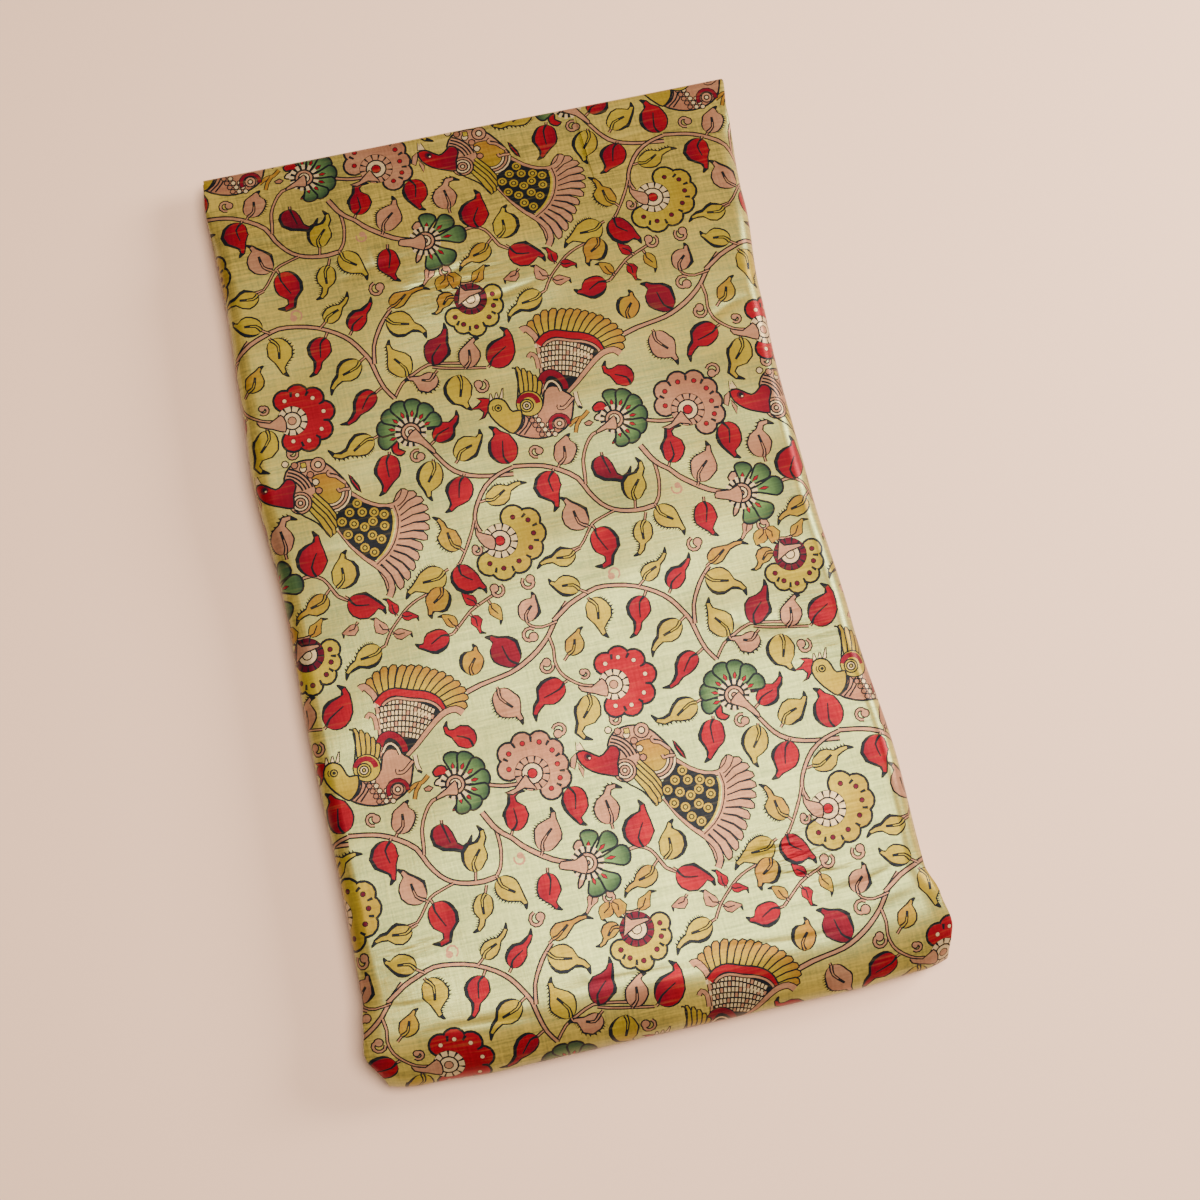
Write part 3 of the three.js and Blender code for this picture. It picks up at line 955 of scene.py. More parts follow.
FLOWERS = (
    ScallopFlower(16.5, -91, RED, RED, CREAM, PINK, CREAM, 9.6, 6.6,
        ((99, 15), (68, 18.5), (38, 21), (6, 22), (-28, 20.6), (-62, 18), (-98, 14.5)),
        [(-6, -86), (2, -89), (10, -85), (13, -91), (11, -98), (3, -94.5), (-5, -91)]),
    ScallopFlower(-47, -135, PINK, ROSE, RED, RED, PINK, 10.8, 6.6,
        ((158, 15.7), (128, 20), (96, 20.6), (65, 21), (37, 20), (8, 17.6), (-22, 18.4), (-51, 16)),
        [(-67, -143), (-60, -141.5), (-52, -134.5), (-49, -139), (-46, -146), (-54, -143.5), (-62, -146)]),
    ScallopFlower(-34, 17, MUSTARD, GOLD, MAROON, RED, CREAM, 11.2, 7.4,
        ((50, 18.4), (25, 23.5), (1, 23), (-25, 21), (-60, 18.8), (-95, 19), (-126, 17.2)),
        [(-47, 33), (-46, 26), (-38, 22), (-36.5, 17), (-39, 11.5), (-45, 15), (-49, 24)]),
    ScallopFlower(-17, 183, MUSTARD, MUSTARD, MAROON, CREAM, MAROON, 10.6, 5.9,
        ((219, 17), (243, 19), (269, 20.5), (302, 18.2), (331, 16.5), (2, 15.5)),
        [(-22, 194), (-19, 190), (-9, 189), (-8.5, 186), (-17, 184.5), (-26, 180), (-24.5, 187)]),
    FanFlower(90.5, -115, 10.0,
        ((190, 22.5, 12), (161, 22.5, 12.5), (132, 22.5, 12.5), (104, 23, 12.5), (75, 23, 12.5),
        (46, 22.5, 12.5), (17, 22, 12)),
        ((RED, [(82, -118), (76, -121), (76, -127), (81, -130), (85, -127), (81, -124)]),
        (RED, [(99, -112), (105, -109), (109, -112), (106, -116), (101, -116)])),
        [(87, -118), (94, -113), (98, -120), (104, -130), (102, -133), (95, -125), (88, -121)]),
    FanFlower(57.5, 81, 9.6,
        ((86, 21, 12), (57, 22, 12.5), (29, 22.5, 12.5), (1, 22.5, 12.5), (-27, 22, 12.5), (-56, 21, 12),
        (-84, 19.5, 11)),
        ((RED, [(55, 88), (54, 94), (49, 95.5), (44.5, 92), (46, 88), (50, 88)]),
        (CREAM, [(52, 88), (46, 87), (44, 83.5), (48, 81.5), (52, 82)]),
        (RED, [(58, 72), (56, 70), (53, 67), (52, 64.5), (57, 65.5), (60, 69)])),
        [(58, 84), (51, 80), (44, 76.5), (44, 73.5), (51, 75), (57, 73.5), (59, 77)]),
    FanFlower(-26, -198, 10.4,
        ((73, 21, 13), (34, 25, 13.5), (-82, 22, 13.5), (-50, 24.5, 14), (0, 28, 14.5)),
        ((PINK, [(-27, -190), (-25, -184), (-29, -182), (-33, -186), (-31, -190)]),
        (PINK, [(-28, -205), (-31, -211), (-35, -213), (-35, -209), (-32, -204)])),
        [(-42, -193), (-33, -194), (-27, -192), (-25, -198), (-28, -205), (-36, -201), (-44, -198)]),
)


@dataclass(frozen=True)
class HalfDrop:
    """Steps of the repeat: to the next column, half a block up, and to the next block in a column."""

    column: tuple[float, float] = (153.5, 212.0)
    block: tuple[float, float] = (-12.0, 428.0)
    corner: tuple[float, float] = (-62.0, -222.0)

    @property
    def side(self) -> Array:
        """Way across one block."""
        return np.array(self.column) - np.array(self.block) / 2

    def place(self, points: Array) -> Array:
        """Gives x, y rows as shares of a block's two sides, 0 to 1 inside the block."""
        frame_of = np.stack([self.side, np.array(self.block)], axis=1)
        return (points - np.array(self.corner)) @ np.linalg.inv(frame_of).T


class PrintBlock:
    """Block of the print, drawn once with all that reaches in from its neighbours."""

    def __init__(self, repeat: HalfDrop, fineness: float, net: float, tolerance: float, least: float) -> None:
        """Draws the block's motifs.

        Args:
            repeat: Steps of the repeat.
            fineness: Share of the full number of points that curves get.
            net: Pitch of the points that are added on bare and wide areas.
            tolerance: How far a line may be moved to save points.
            least: Narrowest shape that is kept.
        """
        self.repeat = repeat
        self.net = net
        self.tolerance = tolerance
        art = Drawing(fineness)
        for vine in VINES:
            vine.draw(art)
        for curl in CURLS:
            curl.draw(art)
        for row in LEAVES:
            Leaf(**dict(zip(LEAF_COLUMNS, row))).draw(art)
        for flower in FLOWERS:
            flower.draw(art)
        TailBird(art).draw()
        FanBird(art).draw()
        art.shapes = [shape for shape in art.shapes if np.ptp(shape.points, axis=0).max() > least]
        self.art = art

    def shapes(self) -> list[Shape]:
        """Gives each shape and its copies that reach into the block.

        Returns:
            The shapes in painting order.
        """
        corners = np.array([self.repeat.corner])
        sides = (self.repeat.side, np.array(self.repeat.block))
        corners = np.vstack([corners, corners + sides[0], corners + sides[1], corners + sides[0] + sides[1]])
        low, high = corners.min(0) - 1, corners.max(0) + 1
        column, block = np.array(self.repeat.column), np.array(self.repeat.block)
        found = []
        for shape in self.art.shapes:
            for i in (-2, -1, 0, 1, 2):
                for j in (-2, -1, 0, 1, 2):
                    copy = shape.moved(i * column + j * block)
                    if np.all(copy.points.max(0) > low) and np.all(copy.points.min(0) < high):
                        inside = self.repeat.place(copy.points)
                        if np.all(inside.max(0) > 0) and np.all(inside.min(0) < 1):
                            found.append(copy)
        return found

    def mesh(self, name: str) -> bpy.types.Mesh:
        """Triangulates the block and colours its faces.

        Args:
            name: Name of the mesh.

        Returns:
            Flat mesh with the print's colours on its face corners.
        """
        shapes = self.shapes()
        lines = []
        for shape in shapes:
            lines.extend(zip(shape.points, np.roll(shape.points, -1, 0)))
        places, triangles = self.triangulated(lines, [])
        owners = self.owners(shapes, places[triangles].mean(axis=1))
        lines = self.simplified(places, seen_edges(triangles, owners))
        places, triangles = self.triangulated(lines, self.net_points(np.array(lines).reshape(-1, 2)))
        owners = self.owners(shapes, places[triangles].mean(axis=1))
        colours = np.zeros((len(triangles), 3, 4), dtype=np.float32)
        for number in np.unique(owners[owners >= 0]):
            shape, hit = shapes[number], np.nonzero(owners == number)[0]
            first = np.array(shape.ink.rgb)
            colour = np.broadcast_to(first, (len(hit), 3, 3)).copy()
            if shape.wash is not None:
                share = shape.wash.share(places[triangles[hit]].reshape(-1, 2)).reshape(-1, 3, 1)
                colour = colour + (np.array(shape.wash.ink.rgb) - first) * share
            colours[hit, :, :3] = colour
            colours[hit, :, 3] = 1.0
        mesh = bpy.data.meshes.new(name)
        mesh.from_pydata(np.column_stack([places * MM, np.zeros(len(places))]).tolist(), [],
            triangles.tolist())
        mesh.color_attributes.new("print", "FLOAT_COLOR", "CORNER").data.foreach_set("color", colours.ravel())
        return mesh

    def triangulated(self, lines: list, extra: Points) -> tuple[Array, Array]:
        """Triangulates the block through given lines.

        Args:
            lines: Pairs of end points.
            extra: More points.

        Returns:
            Points and triangles.
        """
        corner, side, block = (np.array(p, dtype=float) for p in (self.repeat.corner, self.repeat.side,
            self.repeat.block))
        rim = [corner, corner + side, corner + side + block / 2, corner + side + block,
               corner + block, corner + block / 2]
        ends = np.vstack([np.array(lines).reshape(-1, 2), np.array(rim)])
        keys, number = np.unique(np.round(ends, 3), axis=0, return_inverse=True)
        number = number.ravel()
        count = 2 * len(lines)
        edges = [(int(a), int(b)) for a, b in number[:count].reshape(-1, 2) if a != b]
        last = number[count:]
        first = len(edges)
        edges.extend((int(last[k]), int(last[(k + 1) % 6])) for k in range(6))
        points = [Vector(p) for p in (*keys, *extra)]
        found, found_edges, faces, _, sources, _ = delaunay_2d_cdt(points, edges, [], 0, MERGE, True)
        places, triangles = np.array([tuple(v) for v in found]), np.array(faces)
        walls = {(min(e), max(e)) for e, ids in zip(found_edges, sources) if ids and max(ids) >= first}
        share = self.repeat.place(places[triangles].mean(axis=1))
        seed = int(np.argmin(np.abs(share - 0.5).sum(axis=1)))
        return places, triangles[reached(triangles, walls, seed)]

    def owners(self, shapes: list[Shape], centres: Array) -> Array:
        """Finds the last shape over each point.

        Args:
            shapes: Shapes in painting order.
            centres: Points.

        Returns:
            Number of each point's shape, or -1 on bare cloth.
        """
        found = np.full(len(centres), -1)
        for number, shape in enumerate(shapes):
            low, high = shape.points.min(0), shape.points.max(0)
            near = np.nonzero(np.all((centres > low) & (centres < high), axis=1))[0]
            if len(near):
                found[near[winding(shape.points, centres[near]) != 0]] = number
        return found

    def simplified(self, places: Array, edges: Array) -> list:
        """Drops points that hardly bend the lines between colours.

        Args:
            places: Points.
            edges: Lines as pairs of point numbers.

        Returns:
            Lines as pairs of end points.
        """
        share = self.repeat.place(places)
        held = np.any((share < 1e-4) | (share > 1 - 1e-4), axis=1)
        around: dict[int, set[int]] = {}
        dropped: dict[tuple[int, int], list[int]] = {}
        for a, b in edges.tolist():
            around.setdefault(a, set()).add(b)
            around.setdefault(b, set()).add(a)
        for _ in range(4):
            for v in list(around):
                if held[v] or len(around.get(v, ())) != 2:
                    continue
                a, b = around[v]
                if b in around[a]:
                    continue
                gone = [v, *dropped.get((min(a, v), max(a, v)), []), *dropped.get((min(b, v), max(b, v)), [])]
                way = places[b] - places[a]
                length = float(np.hypot(*way))
                off = np.abs((places[gone] - places[a]) @ np.array([-way[1], way[0]])) / max(length, 1e-9)
                if length > 1e-6 and off.max() < self.tolerance:
                    around[a].remove(v)
                    around[b].remove(v)
                    del around[v]
                    around[a].add(b)
                    around[b].add(a)
                    dropped[(min(a, b), max(a, b))] = gone
        return [(places[a], places[b]) for a in around for b in around[a] if a < b]

    def net_points(self, taken: Array) -> Points:
        """Places extra points clear of the drawn ones.

        Args:
            taken: Points of the drawing.

        Returns:
            The extra points.
        """
        cell = self.net * 0.45
        full = {(int(math.floor(x / cell)), int(math.floor(y / cell))) for x, y in taken}
        extra = []
        steps = (round(float(np.linalg.norm(self.repeat.side)) / self.net),
            round(self.repeat.block[1] / self.net))
        for i in range(1, steps[0]):
            for j in range(1, steps[1]):
                share = np.array([(i + 0.25 * (-1) ** j) / steps[0], j / steps[1]])
                x, y = np.array(self.repeat.corner) + share[0] * self.repeat.side + share[1] * np.array(
                    self.repeat.block)
                key = (int(math.floor(x / cell)), int(math.floor(y / cell)))
                near = any((key[0] + a, key[1] + b) in full for a in (-1, 0, 1) for b in (-1, 0, 1))
                if not near:
                    extra.append((x, y))
        return extra


def reached(triangles: Array, walls: set[tuple[int, int]], seed: int) -> Array:
    """Finds the triangles that are joined to one without crossing a wall.

    Args:
        triangles: Triangles.
        walls: Edges that may not be crossed, as sorted pairs of point numbers.
        seed: Number of the first triangle.

    Returns:
        Whether each triangle is reached.
    """
    beside: dict[tuple[int, int], list[int]] = {}
    corners = triangles.tolist()
    for number, (a, b, c) in enumerate(corners):
        for edge in ((a, b), (b, c), (c, a)):
            beside.setdefault((min(edge), max(edge)), []).append(number)
    found = np.zeros(len(triangles), dtype=bool)
    found[seed] = True
    front = [seed]
    while front:
        a, b, c = corners[front.pop()]
        for edge in ((a, b), (b, c), (c, a)):
            key = (min(edge), max(edge))
            if key in walls:
                continue
            for other in beside[key]:
                if not found[other]:
                    found[other] = True
                    front.append(other)
    return found


def edges_of(triangles: Array) -> Array:
    """Gives the three edges of all triangles, as pairs of point numbers."""
    return np.vstack([triangles[:, [0, 1]], triangles[:, [1, 2]], triangles[:, [2, 0]]])


def seen_edges(triangles: Array, owners: Array) -> Array:
    """Finds the edges between different shapes.

    Args:
        triangles: Triangles.
        owners: Number of each triangle's shape.

    Returns:
        Point numbers of each such edge.
    """
    edges = np.sort(edges_of(triangles), axis=1)
    owner = np.tile(owners, 3)
    order = np.lexsort((edges[:, 1], edges[:, 0]))
    edges, owner = edges[order], owner[order]
    same = np.nonzero(np.all(edges[1:] == edges[:-1], axis=1))[0]
    return edges[same[owner[same] != owner[same + 1]]]


def winding(outline: Array, points: Array) -> Array:
    """Counts how often a closed line winds round each point.

    Args:
        outline: Points of the line.
        points: Points to test.

    Returns:
        Turns round each point; 0 means outside.
    """
    a = outline[None, :, :]
    b = np.roll(outline, -1, 0)[None, :, :]
    p = points[:, None, :]
    side, way = b - a, p - a
    left = side[..., 0] * way[..., 1] - way[..., 0] * side[..., 1]
    up = (a[..., 1] <= p[..., 1]) & (b[..., 1] > p[..., 1]) & (left > 0)
    down = (a[..., 1] > p[..., 1]) & (b[..., 1] <= p[..., 1]) & (left < 0)
    return up.sum(1) - down.sum(1)


@dataclass(frozen=True)
class Layer:
    """How far one layer's ends stop short of the outline, and how far its edges lie inside it."""

    foot_in: float
    head_in: float
    left_in: float
    right_in: float


@dataclass(frozen=True)
class Swell:
    """Soft wave of the upper layers."""

    height: float
    across: float
    along: float
    start: float


@dataclass(frozen=True)
class Crease:
    """Soft trough (depth above 0) or ridge (below 0) in the top of the cloth."""

    x: float
    y: float
    to_x: float
    to_y: float
    width: float
    depth: float
    bow: float = 0.0

    def dent(self, x: Array, y: Array) -> Array:
        """Gives how far the crease lowers the cloth.

        Args:
            x: Places across.
            y: Places along.

        Returns:
            Depth at each place.
        """
        way = np.array([self.to_x - self.x, self.to_y - self.y], dtype=float)
        length = float(np.linalg.norm(way))
        way /= length
        along = ((x - self.x) * way[0] + (y - self.y) * way[1]) / length
        off = -(x - self.x) * way[1] + (y - self.y) * way[0] - self.bow * 4 * along * (1 - along)
        ends = np.clip(along, 0, 1)
        fade = np.sin(np.pi * ends) ** 0.7 * (along > 0) * (along < 1)
        return self.depth * fade * np.exp(-((off / self.width) ** 2) * (1 + 0.35 * np.tanh(off / self.width)))


# From the floor up.
LAYERS = (
    Layer(22, 3, 2.5, 2.0),
    Layer(15, 9, 4.5, 5.5),
    Layer(15, 5, 2.0, 3.5),
    Layer(8, 5, 5.0, 1.5),
    Layer(8, 52, 3.0, 4.5),
    Layer(12, 52, 6.0, 3.0),
    Layer(12, 88, 3.5, 5.0),
    Layer(26, 88, 6.5, 7.0),
    Layer(26, 0, 9.5, 9.0),
    Layer(38, 0, 0.0, 0.0),
)

# Place along the bundle, and the left and the right side there.
OUTLINE = np.array([
    (-310, -177, 186), (-287, -186, 191), (-266, -183, 188), (-246, -180, 183), (-180, -179, 184),
    (-80, -180, 178), (10, -178, 174), (95, -182, 173), (150, -179, 175), (220, -176, 181),
    (285, -177, 186), (310, -175, 189),
], dtype=float)

# Place across the bundle, and how far the foot is drawn back there.
FOOT_LINE = np.array([
    (-190, 7.5), (-150, 4.0), (-105, 1.2), (-30, 0.6), (60, -0.6), (125, -1.4), (165, 0.2), (190, 2.5),
], dtype=float)

# Millimetres on the top layer: ends, width, depth and bow.
CREASES = (
    Crease(58, -213, 116, -222, 2.6, 0.75, 2.0),
    Crease(74, -229, 138, -238, 2.2, 0.55, -2.0),
    Crease(104, -205, 156, -199, 2.4, 0.60, 1.5),
    Crease(118, -250, 166, -243, 2.8, 0.65, -2.5),
    Crease(-66, 193, -6, 206, 3.0, 0.70, 3.0),
    Crease(-28, 181, 34, 188, 2.6, 0.55, -2.0),
    Crease(-100, 214, -44, 221, 3.2, 0.60, 2.0),
    Crease(-172, -232, -112, -224, 3.0, 0.65, 3.0),
    Crease(-176, -254, -132, -259, 2.6, 0.55, -2.0),
    Crease(-60, -272, 34, -277, 2.4, 0.50, 2.0),
    Crease(40, -266, 122, -274, 2.6, 0.55, -3.0),
    Crease(-150, -279, -72, -284, 2.6, 0.50, 2.0),
    Crease(136, -268, 176, -258, 3.2, -0.60, 3.0),
    Crease(128, 128, 166, 146, 3.2, 0.60, 4.0),
    Crease(-172, 262, -122, 250, 3.6, 0.70, -3.0),
    Crease(60, 268, 150, 281, 3.6, 0.65, 4.0),
    Crease(-160, 36, -96, 20, 4.0, 0.50, 4.0),
    Crease(86, -62, 150, -78, 3.4, 0.50, -3.0),
)


def read_table(table: Array, column: int, place: Array) -> Array:
    """Reads a table between its rows, with soft changes from row to row.

    Args:
        table: Rows with their place first.
        column: Column to read.
        place: Places to read at.

    Returns:
        Value at each place.
    """
    row = np.clip(np.searchsorted(table[:, 0], place) - 1, 0, len(table) - 2)
    low, high = table[row], table[row + 1]
    return low[..., column] + (high[..., column] - low[..., column]) * smooth(
        (place - low[..., 0]) / (high[..., 0] - low[..., 0]))


@dataclass(frozen=True)
class FoldedSection:
    """The cloth's run through the bundle, to and fro between its head and its foot."""

    half_length: float = 310.0
    thickness: float = 1.6
    pitch: float = 3.6
    fold_reach: float = 3.4
    roll_top_reach: float = 38.0
    roll_under_reach: float = 22.0
    roll_widest: float = 13.0
    slope_length: float = 98.0
    slope_skew: float = 0.2
    slope_drop: float = 14.0
    head_fold_height: float = 4.8
    head_fold_reach: float = 5.2
    side_bend: float = 14.4
    side_turn: float = 1.3
    roll_side_turn: float = 0.42
    step: float = 6.0
    fold_steps: int = 12
    roll_steps: int = 18

    @property
    def last(self) -> int:
        """Number of the top layer."""
        return len(LAYERS) - 1

    def flat_run(self, index: int) -> Array:
        """Gives the stretch of one layer between its two ends.

        Args:
            index: The layer, counted from the floor.

        Returns:
            Rows from the foot to the head.
        """
        layer = LAYERS[index]
        rolled = index in (0, self.last)
        reach = self.head_fold_reach if index >= self.last - 1 else self.fold_reach
        start = -self.half_length + layer.foot_in + (0 if rolled else self.fold_reach)
        end = self.half_length - layer.head_in - (0 if index < 2 else reach)
        along = np.linspace(start, end, round((end - start) / self.step) + 1)
        from_head = self.half_length - along
        fall = {self.last: self.slope_drop - self.head_fold_height + self.pitch,
                self.last - 1: self.slope_drop}.get(index, 0.0)
        draw = smooth((from_head - self.head_fold_reach) / 20) if index == self.last - 1 else 1.0 + 0 * along
        staggered = layer.head_in > self.slope_length * self.slope_skew
        skew = smooth((215 - from_head) / 105) if staggered else 0 * along
        bend = 0 * along
        if index == self.last:
            at_head = smooth((from_head - 20) / 42)
            from_roll = smooth((along + self.half_length - self.roll_top_reach) / 62)
            bend = self.roll_side_turn + (self.side_turn * at_head - self.roll_side_turn) * from_roll
        height = self.thickness / 2 + index * self.pitch
        return np.column_stack([along, height + 0 * along, fall + 0 * along, layer.left_in * draw,
            layer.right_in * draw, bend, skew])

    def fold(self, start: Array, end: Array, way: int, reach: float) -> Array:
        """Gives a half turn between two layers.

        Args:
            start: Last row of the layer that the turn leaves.
            end: First row of the next layer.
            way: +1 for a turn at the head, -1 for one at the foot.
            reach: How far the turn bulges.

        Returns:
            Rows of the turn.
        """
        angle = np.pi * np.arange(1, self.fold_steps) / self.fold_steps
        rows = start + (end - start) * ((1 - np.cos(angle)) / 2)[:, None]
        rows[:, 0] += way * reach * np.sin(angle)
        return rows

    def roll(self, start: Array, end: Array) -> Array:
        """Gives the fat roll round the foot.

        Args:
            start: Last row of the top layer.
            end: First row of the bottom layer.

        Returns:
            Rows of the roll.
        """
        count = np.arange(1, 2 * self.roll_steps)
        angle = np.pi * count / (2 * self.roll_steps)
        above = count <= self.roll_steps
        rows = start + (end - start) * smooth(count / (2 * self.roll_steps))[:, None]
        reach = np.where(above, self.roll_top_reach, self.roll_under_reach)
        rise = np.where(above, start[1] - self.roll_widest, self.roll_widest - end[1])
        rows[:, 0] = -self.half_length + reach * (1 - np.sin(angle))
        rows[:, 1] = self.roll_widest + rise * np.cos(angle)
        return rows

    def course(self) -> "Course":
        """Joins the layers, turns and the roll.

        Returns:
            The cloth's whole run.
        """
        parts = []
        for index in range(1, len(LAYERS)):
            run = self.flat_run(index)
            to_foot = index % 2 == 1
            if to_foot:
                run = run[::-1]
            if parts:
                reach = self.head_fold_reach if index == self.last else self.fold_reach
                parts.append(self.fold(parts[-1][-1], run[0], 1 if to_foot else -1, reach))
            parts.append(run)
        bottom = self.flat_run(0)
        wrap = len(np.vstack(parts[:-2]))
        top = len(np.vstack(parts[:-1]))
        parts.append(self.roll(parts[-1][-1], bottom[0]))
        under = len(np.vstack(parts))
        rows = np.vstack([*parts, bottom])
        from_head = self.half_length - rows[:, 0]
        fallen = rows[:, 1] - rows[:, 2] * smooth(1 - from_head / self.slope_length)
        steps = np.hypot(np.diff(rows[:, 0]), np.diff(fallen))
        return Course(rows, np.concatenate([[0], np.cumsum(steps)]), wrap, top, under)


class Course:
    """Rows of the cloth's run, with their places along it."""

    def __init__(self, rows: Array, places: Array, wrap: int, top: int, under: int) -> None:
        """Keeps the rows.

        Args:
            rows: One row for each place.
            places: Distance of each row from the cloth's inner cut end.
            wrap: Row where the outermost fold at the head starts.
            top: Row where the top layer starts.
            under: Row where the bottom layer starts.
        """
        run = np.gradient(rows[:, :2], axis=0)
        run /= np.linalg.norm(run, axis=1)[:, None]
        self.table = np.column_stack([rows, -run[:, 1], run[:, 0]])
        self.places = places
        self.wrap = float(places[wrap])
        self.top = float(places[top])
        self.under = float(places[under])
        self.end = float(places[-1])
        self.origin = float(rows[top, 0] + places[top])

    def read(self, place: Array) -> Array:
        """Reads the rows between their places, at distances from the inner cut end."""
        return np.stack([np.interp(place, self.places, self.table[:, k]) for k in range(9)], axis=-1)


class ClothSurface:
    """Maps a flat point of the cloth, x across and v along it, to its place in the bundle."""

    def __init__(self, section: FoldedSection) -> None:
        """Sets up the mapping.

        Args:
            section: The cloth's run through the bundle.
        """
        self.section = section
        self.course = section.course()
        self.swells = (Swell(0.9, 0.8, 1.3, 0.4), Swell(0.6, 1.6, 2.1, 2.1), Swell(0.4, 2.7, 0.9, 4.4))
        self.sample = 1.2

    def sides(self, v: Array) -> tuple[Array, Array]:
        """Gives the cloth's two edges.

        Args:
            v: Places along the cloth.

        Returns:
            Places across of the left and of the right edge.
        """
        row = self.course.read(np.asarray(v, dtype=float))
        reach, _ = self.bent(row[..., 5], np.ones_like(row[..., 0]))
        spare = self.section.side_bend - reach
        left = read_table(OUTLINE, 1, row[..., 0]) + row[..., 3] - spare
        right = read_table(OUTLINE, 2, row[..., 0]) - row[..., 4] + spare
        return left, right

    def on_border(self, points: Array, low: float, high: float) -> Array:
        """Finds the points on the border of a stretch of the cloth.

        Args:
            points: Array of x, v rows.
            low: Where the stretch starts.
            high: Where it ends.

        Returns:
            Whether each point is on the border.
        """
        left, right = self.sides(points[:, 1])
        gaps = np.stack([points[:, 0] - left, points[:, 0] - right, points[:, 1] - low, points[:, 1] - high])
        return np.min(np.abs(gaps), axis=0) < BORDER

    def bent(self, turn: Array, share: Array) -> tuple[Array, Array]:
        """Gives the reach and the inset of a bent side.

        Args:
            turn: Turn of the whole bend in radians.
            share: Share of the bend's length.

        Returns:
            Reach outwards, and inset below the layer.
        """
        length = self.section.side_bend
        safe = np.maximum(turn, 1e-4)
        return length / safe * np.sin(safe * share), length / safe * (1 - np.cos(safe * share))

    def middle(self, x: Array, v: Array) -> Array:
        """Gives the middle of the cloth's thickness.

        Args:
            x: Flat places across.
            v: Places along the cloth.

        Returns:
            Points in the bundle.
        """
        size = self.section
        row = self.course.read(v)
        along, height, fall, left_in, right_in, turn, skew, in_y, in_z = np.moveaxis(row, -1, 0)
        whole, _ = self.bent(turn, np.ones_like(along))
        left = read_table(OUTLINE, 1, along) + left_in + whole
        right = read_table(OUTLINE, 2, along) - right_in - whole
        over = np.maximum(left - x, 0) + np.maximum(x - right, 0)
        reach, inset = self.bent(turn, over / size.side_bend)
        px = np.clip(x, left, right) + np.sign(x - (left + right) / 2) * reach * (over > 0)
        from_head = size.half_length - along
        skewed = 1 + size.slope_skew * px / 183
        fallen = fall * smooth(1 - from_head / (size.slope_length * skewed))
        py = along - from_head * (skewed - 1) * skew + in_y * inset
        pz = height - fallen + in_z * inset
        foot = smooth(1 - (py + size.half_length) / 70)
        share = np.maximum(0, (pz - size.pitch) / (size.thickness / 2 + (len(LAYERS) - 2) * size.pitch))
        total = 0
        for wave in self.swells:
            phase = wave.start + (wave.across * px + wave.along * py) * (np.pi / size.half_length)
            total = total + wave.height * np.sin(phase)
        py = py + read_table(FOOT_LINE, 1, px) * foot
        return np.stack([px, py, pz + total * share], axis=-1) + np.array(SHIFT)

    def creased(self, x: Array, v: Array) -> Array:
        """Gives the middle of the cloth with the creases of its top.

        Args:
            x: Flat places across.
            v: Places along the cloth.

        Returns:
            Points in the bundle.
        """
        point = self.middle(x, v)
        y = self.course.origin - v
        on_top = smooth((v - self.course.top + 6) / 12) * smooth((self.course.under - 20 - v) / 20)
        for crease in CREASES:
            point[..., 2] -= crease.dent(x, y) * on_top
        return point

    def normal(self, x: Array, v: Array) -> Array:
        """Gives the way out of the printed face.

        Args:
            x: Flat places across.
            v: Places along the cloth.

        Returns:
            Unit vectors.
        """
        h = self.sample
        across = self.creased(x + h, v) - self.creased(x - h, v)
        along = self.creased(x, v + h) - self.creased(x, v - h)
        out = np.cross(along, across)
        return out / np.maximum(np.linalg.norm(out, axis=-1), 1e-9)[..., None]

    def face(self, x: Array, v: Array, side: int) -> tuple[Array, Array]:
        """Gives one face of the cloth.

        Args:
            x: Flat places across.
            v: Places along the cloth.
            side: +1 for the printed face, -1 for the other one.

        Returns:
            Points and unit vectors out of the face.
        """
        out = self.normal(x, v)
        point = self.creased(x, v) + out * (side * self.section.thickness / 2)
        point[..., 2] = np.where(point[..., 2] < 0.05, 0, point[..., 2])
        return point, out * side


class NodeMaker:
    """Adds nodes to a tree and joins them."""

    def __init__(self, tree: bpy.types.NodeTree) -> None:
        """Keeps the tree."""
        self.tree = tree

    def node(self, kind: str, inputs: dict, **options: object) -> bpy.types.Node:
        """Adds one node.

        Args:
            kind: Its type.
            inputs: Value or source socket of each input, by name or number.
            options: Its other settings.

        Returns:
            The node.
        """
        made = self.tree.nodes.new(kind)
        for name, value in options.items():
            setattr(made, name, value)
        for key, value in inputs.items():
            if isinstance(value, Socket):
                self.tree.links.new(value, made.inputs[key])
            else:
                made.inputs[key].default_value = value
        return made

    def stretched_noise(self, vector: Socket, across: float, along: float, detail: float) -> Socket:
        """Adds a noise that is finer one way than the other.

        Args:
            vector: Place on the cloth in metres.
            across: Waves in a metre across the cloth.
            along: Waves in a metre along it.
            detail: Detail of the noise.

        Returns:
            The noise, about 0.5.
        """
        place = self.node("ShaderNodeVectorMath", {0: vector, 1: (across, along, 1.0)}, operation="MULTIPLY")
        noise = self.node("ShaderNodeTexNoise", {"Vector": place.outputs[0], "Scale": 1.0, "Detail": detail})
        return noise.outputs["Fac"]

    def ranged(self, value: Socket, low: float, high: float, to_low: float, to_high: float) -> Socket:
        """Maps one range to another, with both ends held."""
        return self.node("ShaderNodeMapRange", {"Value": value, "From Min": low, "From Max": high,
            "To Min": to_low, "To Max": to_high}).outputs[0]

    def sum_of(self, parts: list[tuple[Socket, float]]) -> Socket:
        """Adds up values with weights.

        Args:
            parts: Pairs of a value and its weight.

        Returns:
            The sum.
        """
        total = 0.0
        for value, weight in parts:
            total = self.node("ShaderNodeMath", {0: value, 1: weight, 2: total},
                operation="MULTIPLY_ADD").outputs[0]
        return total


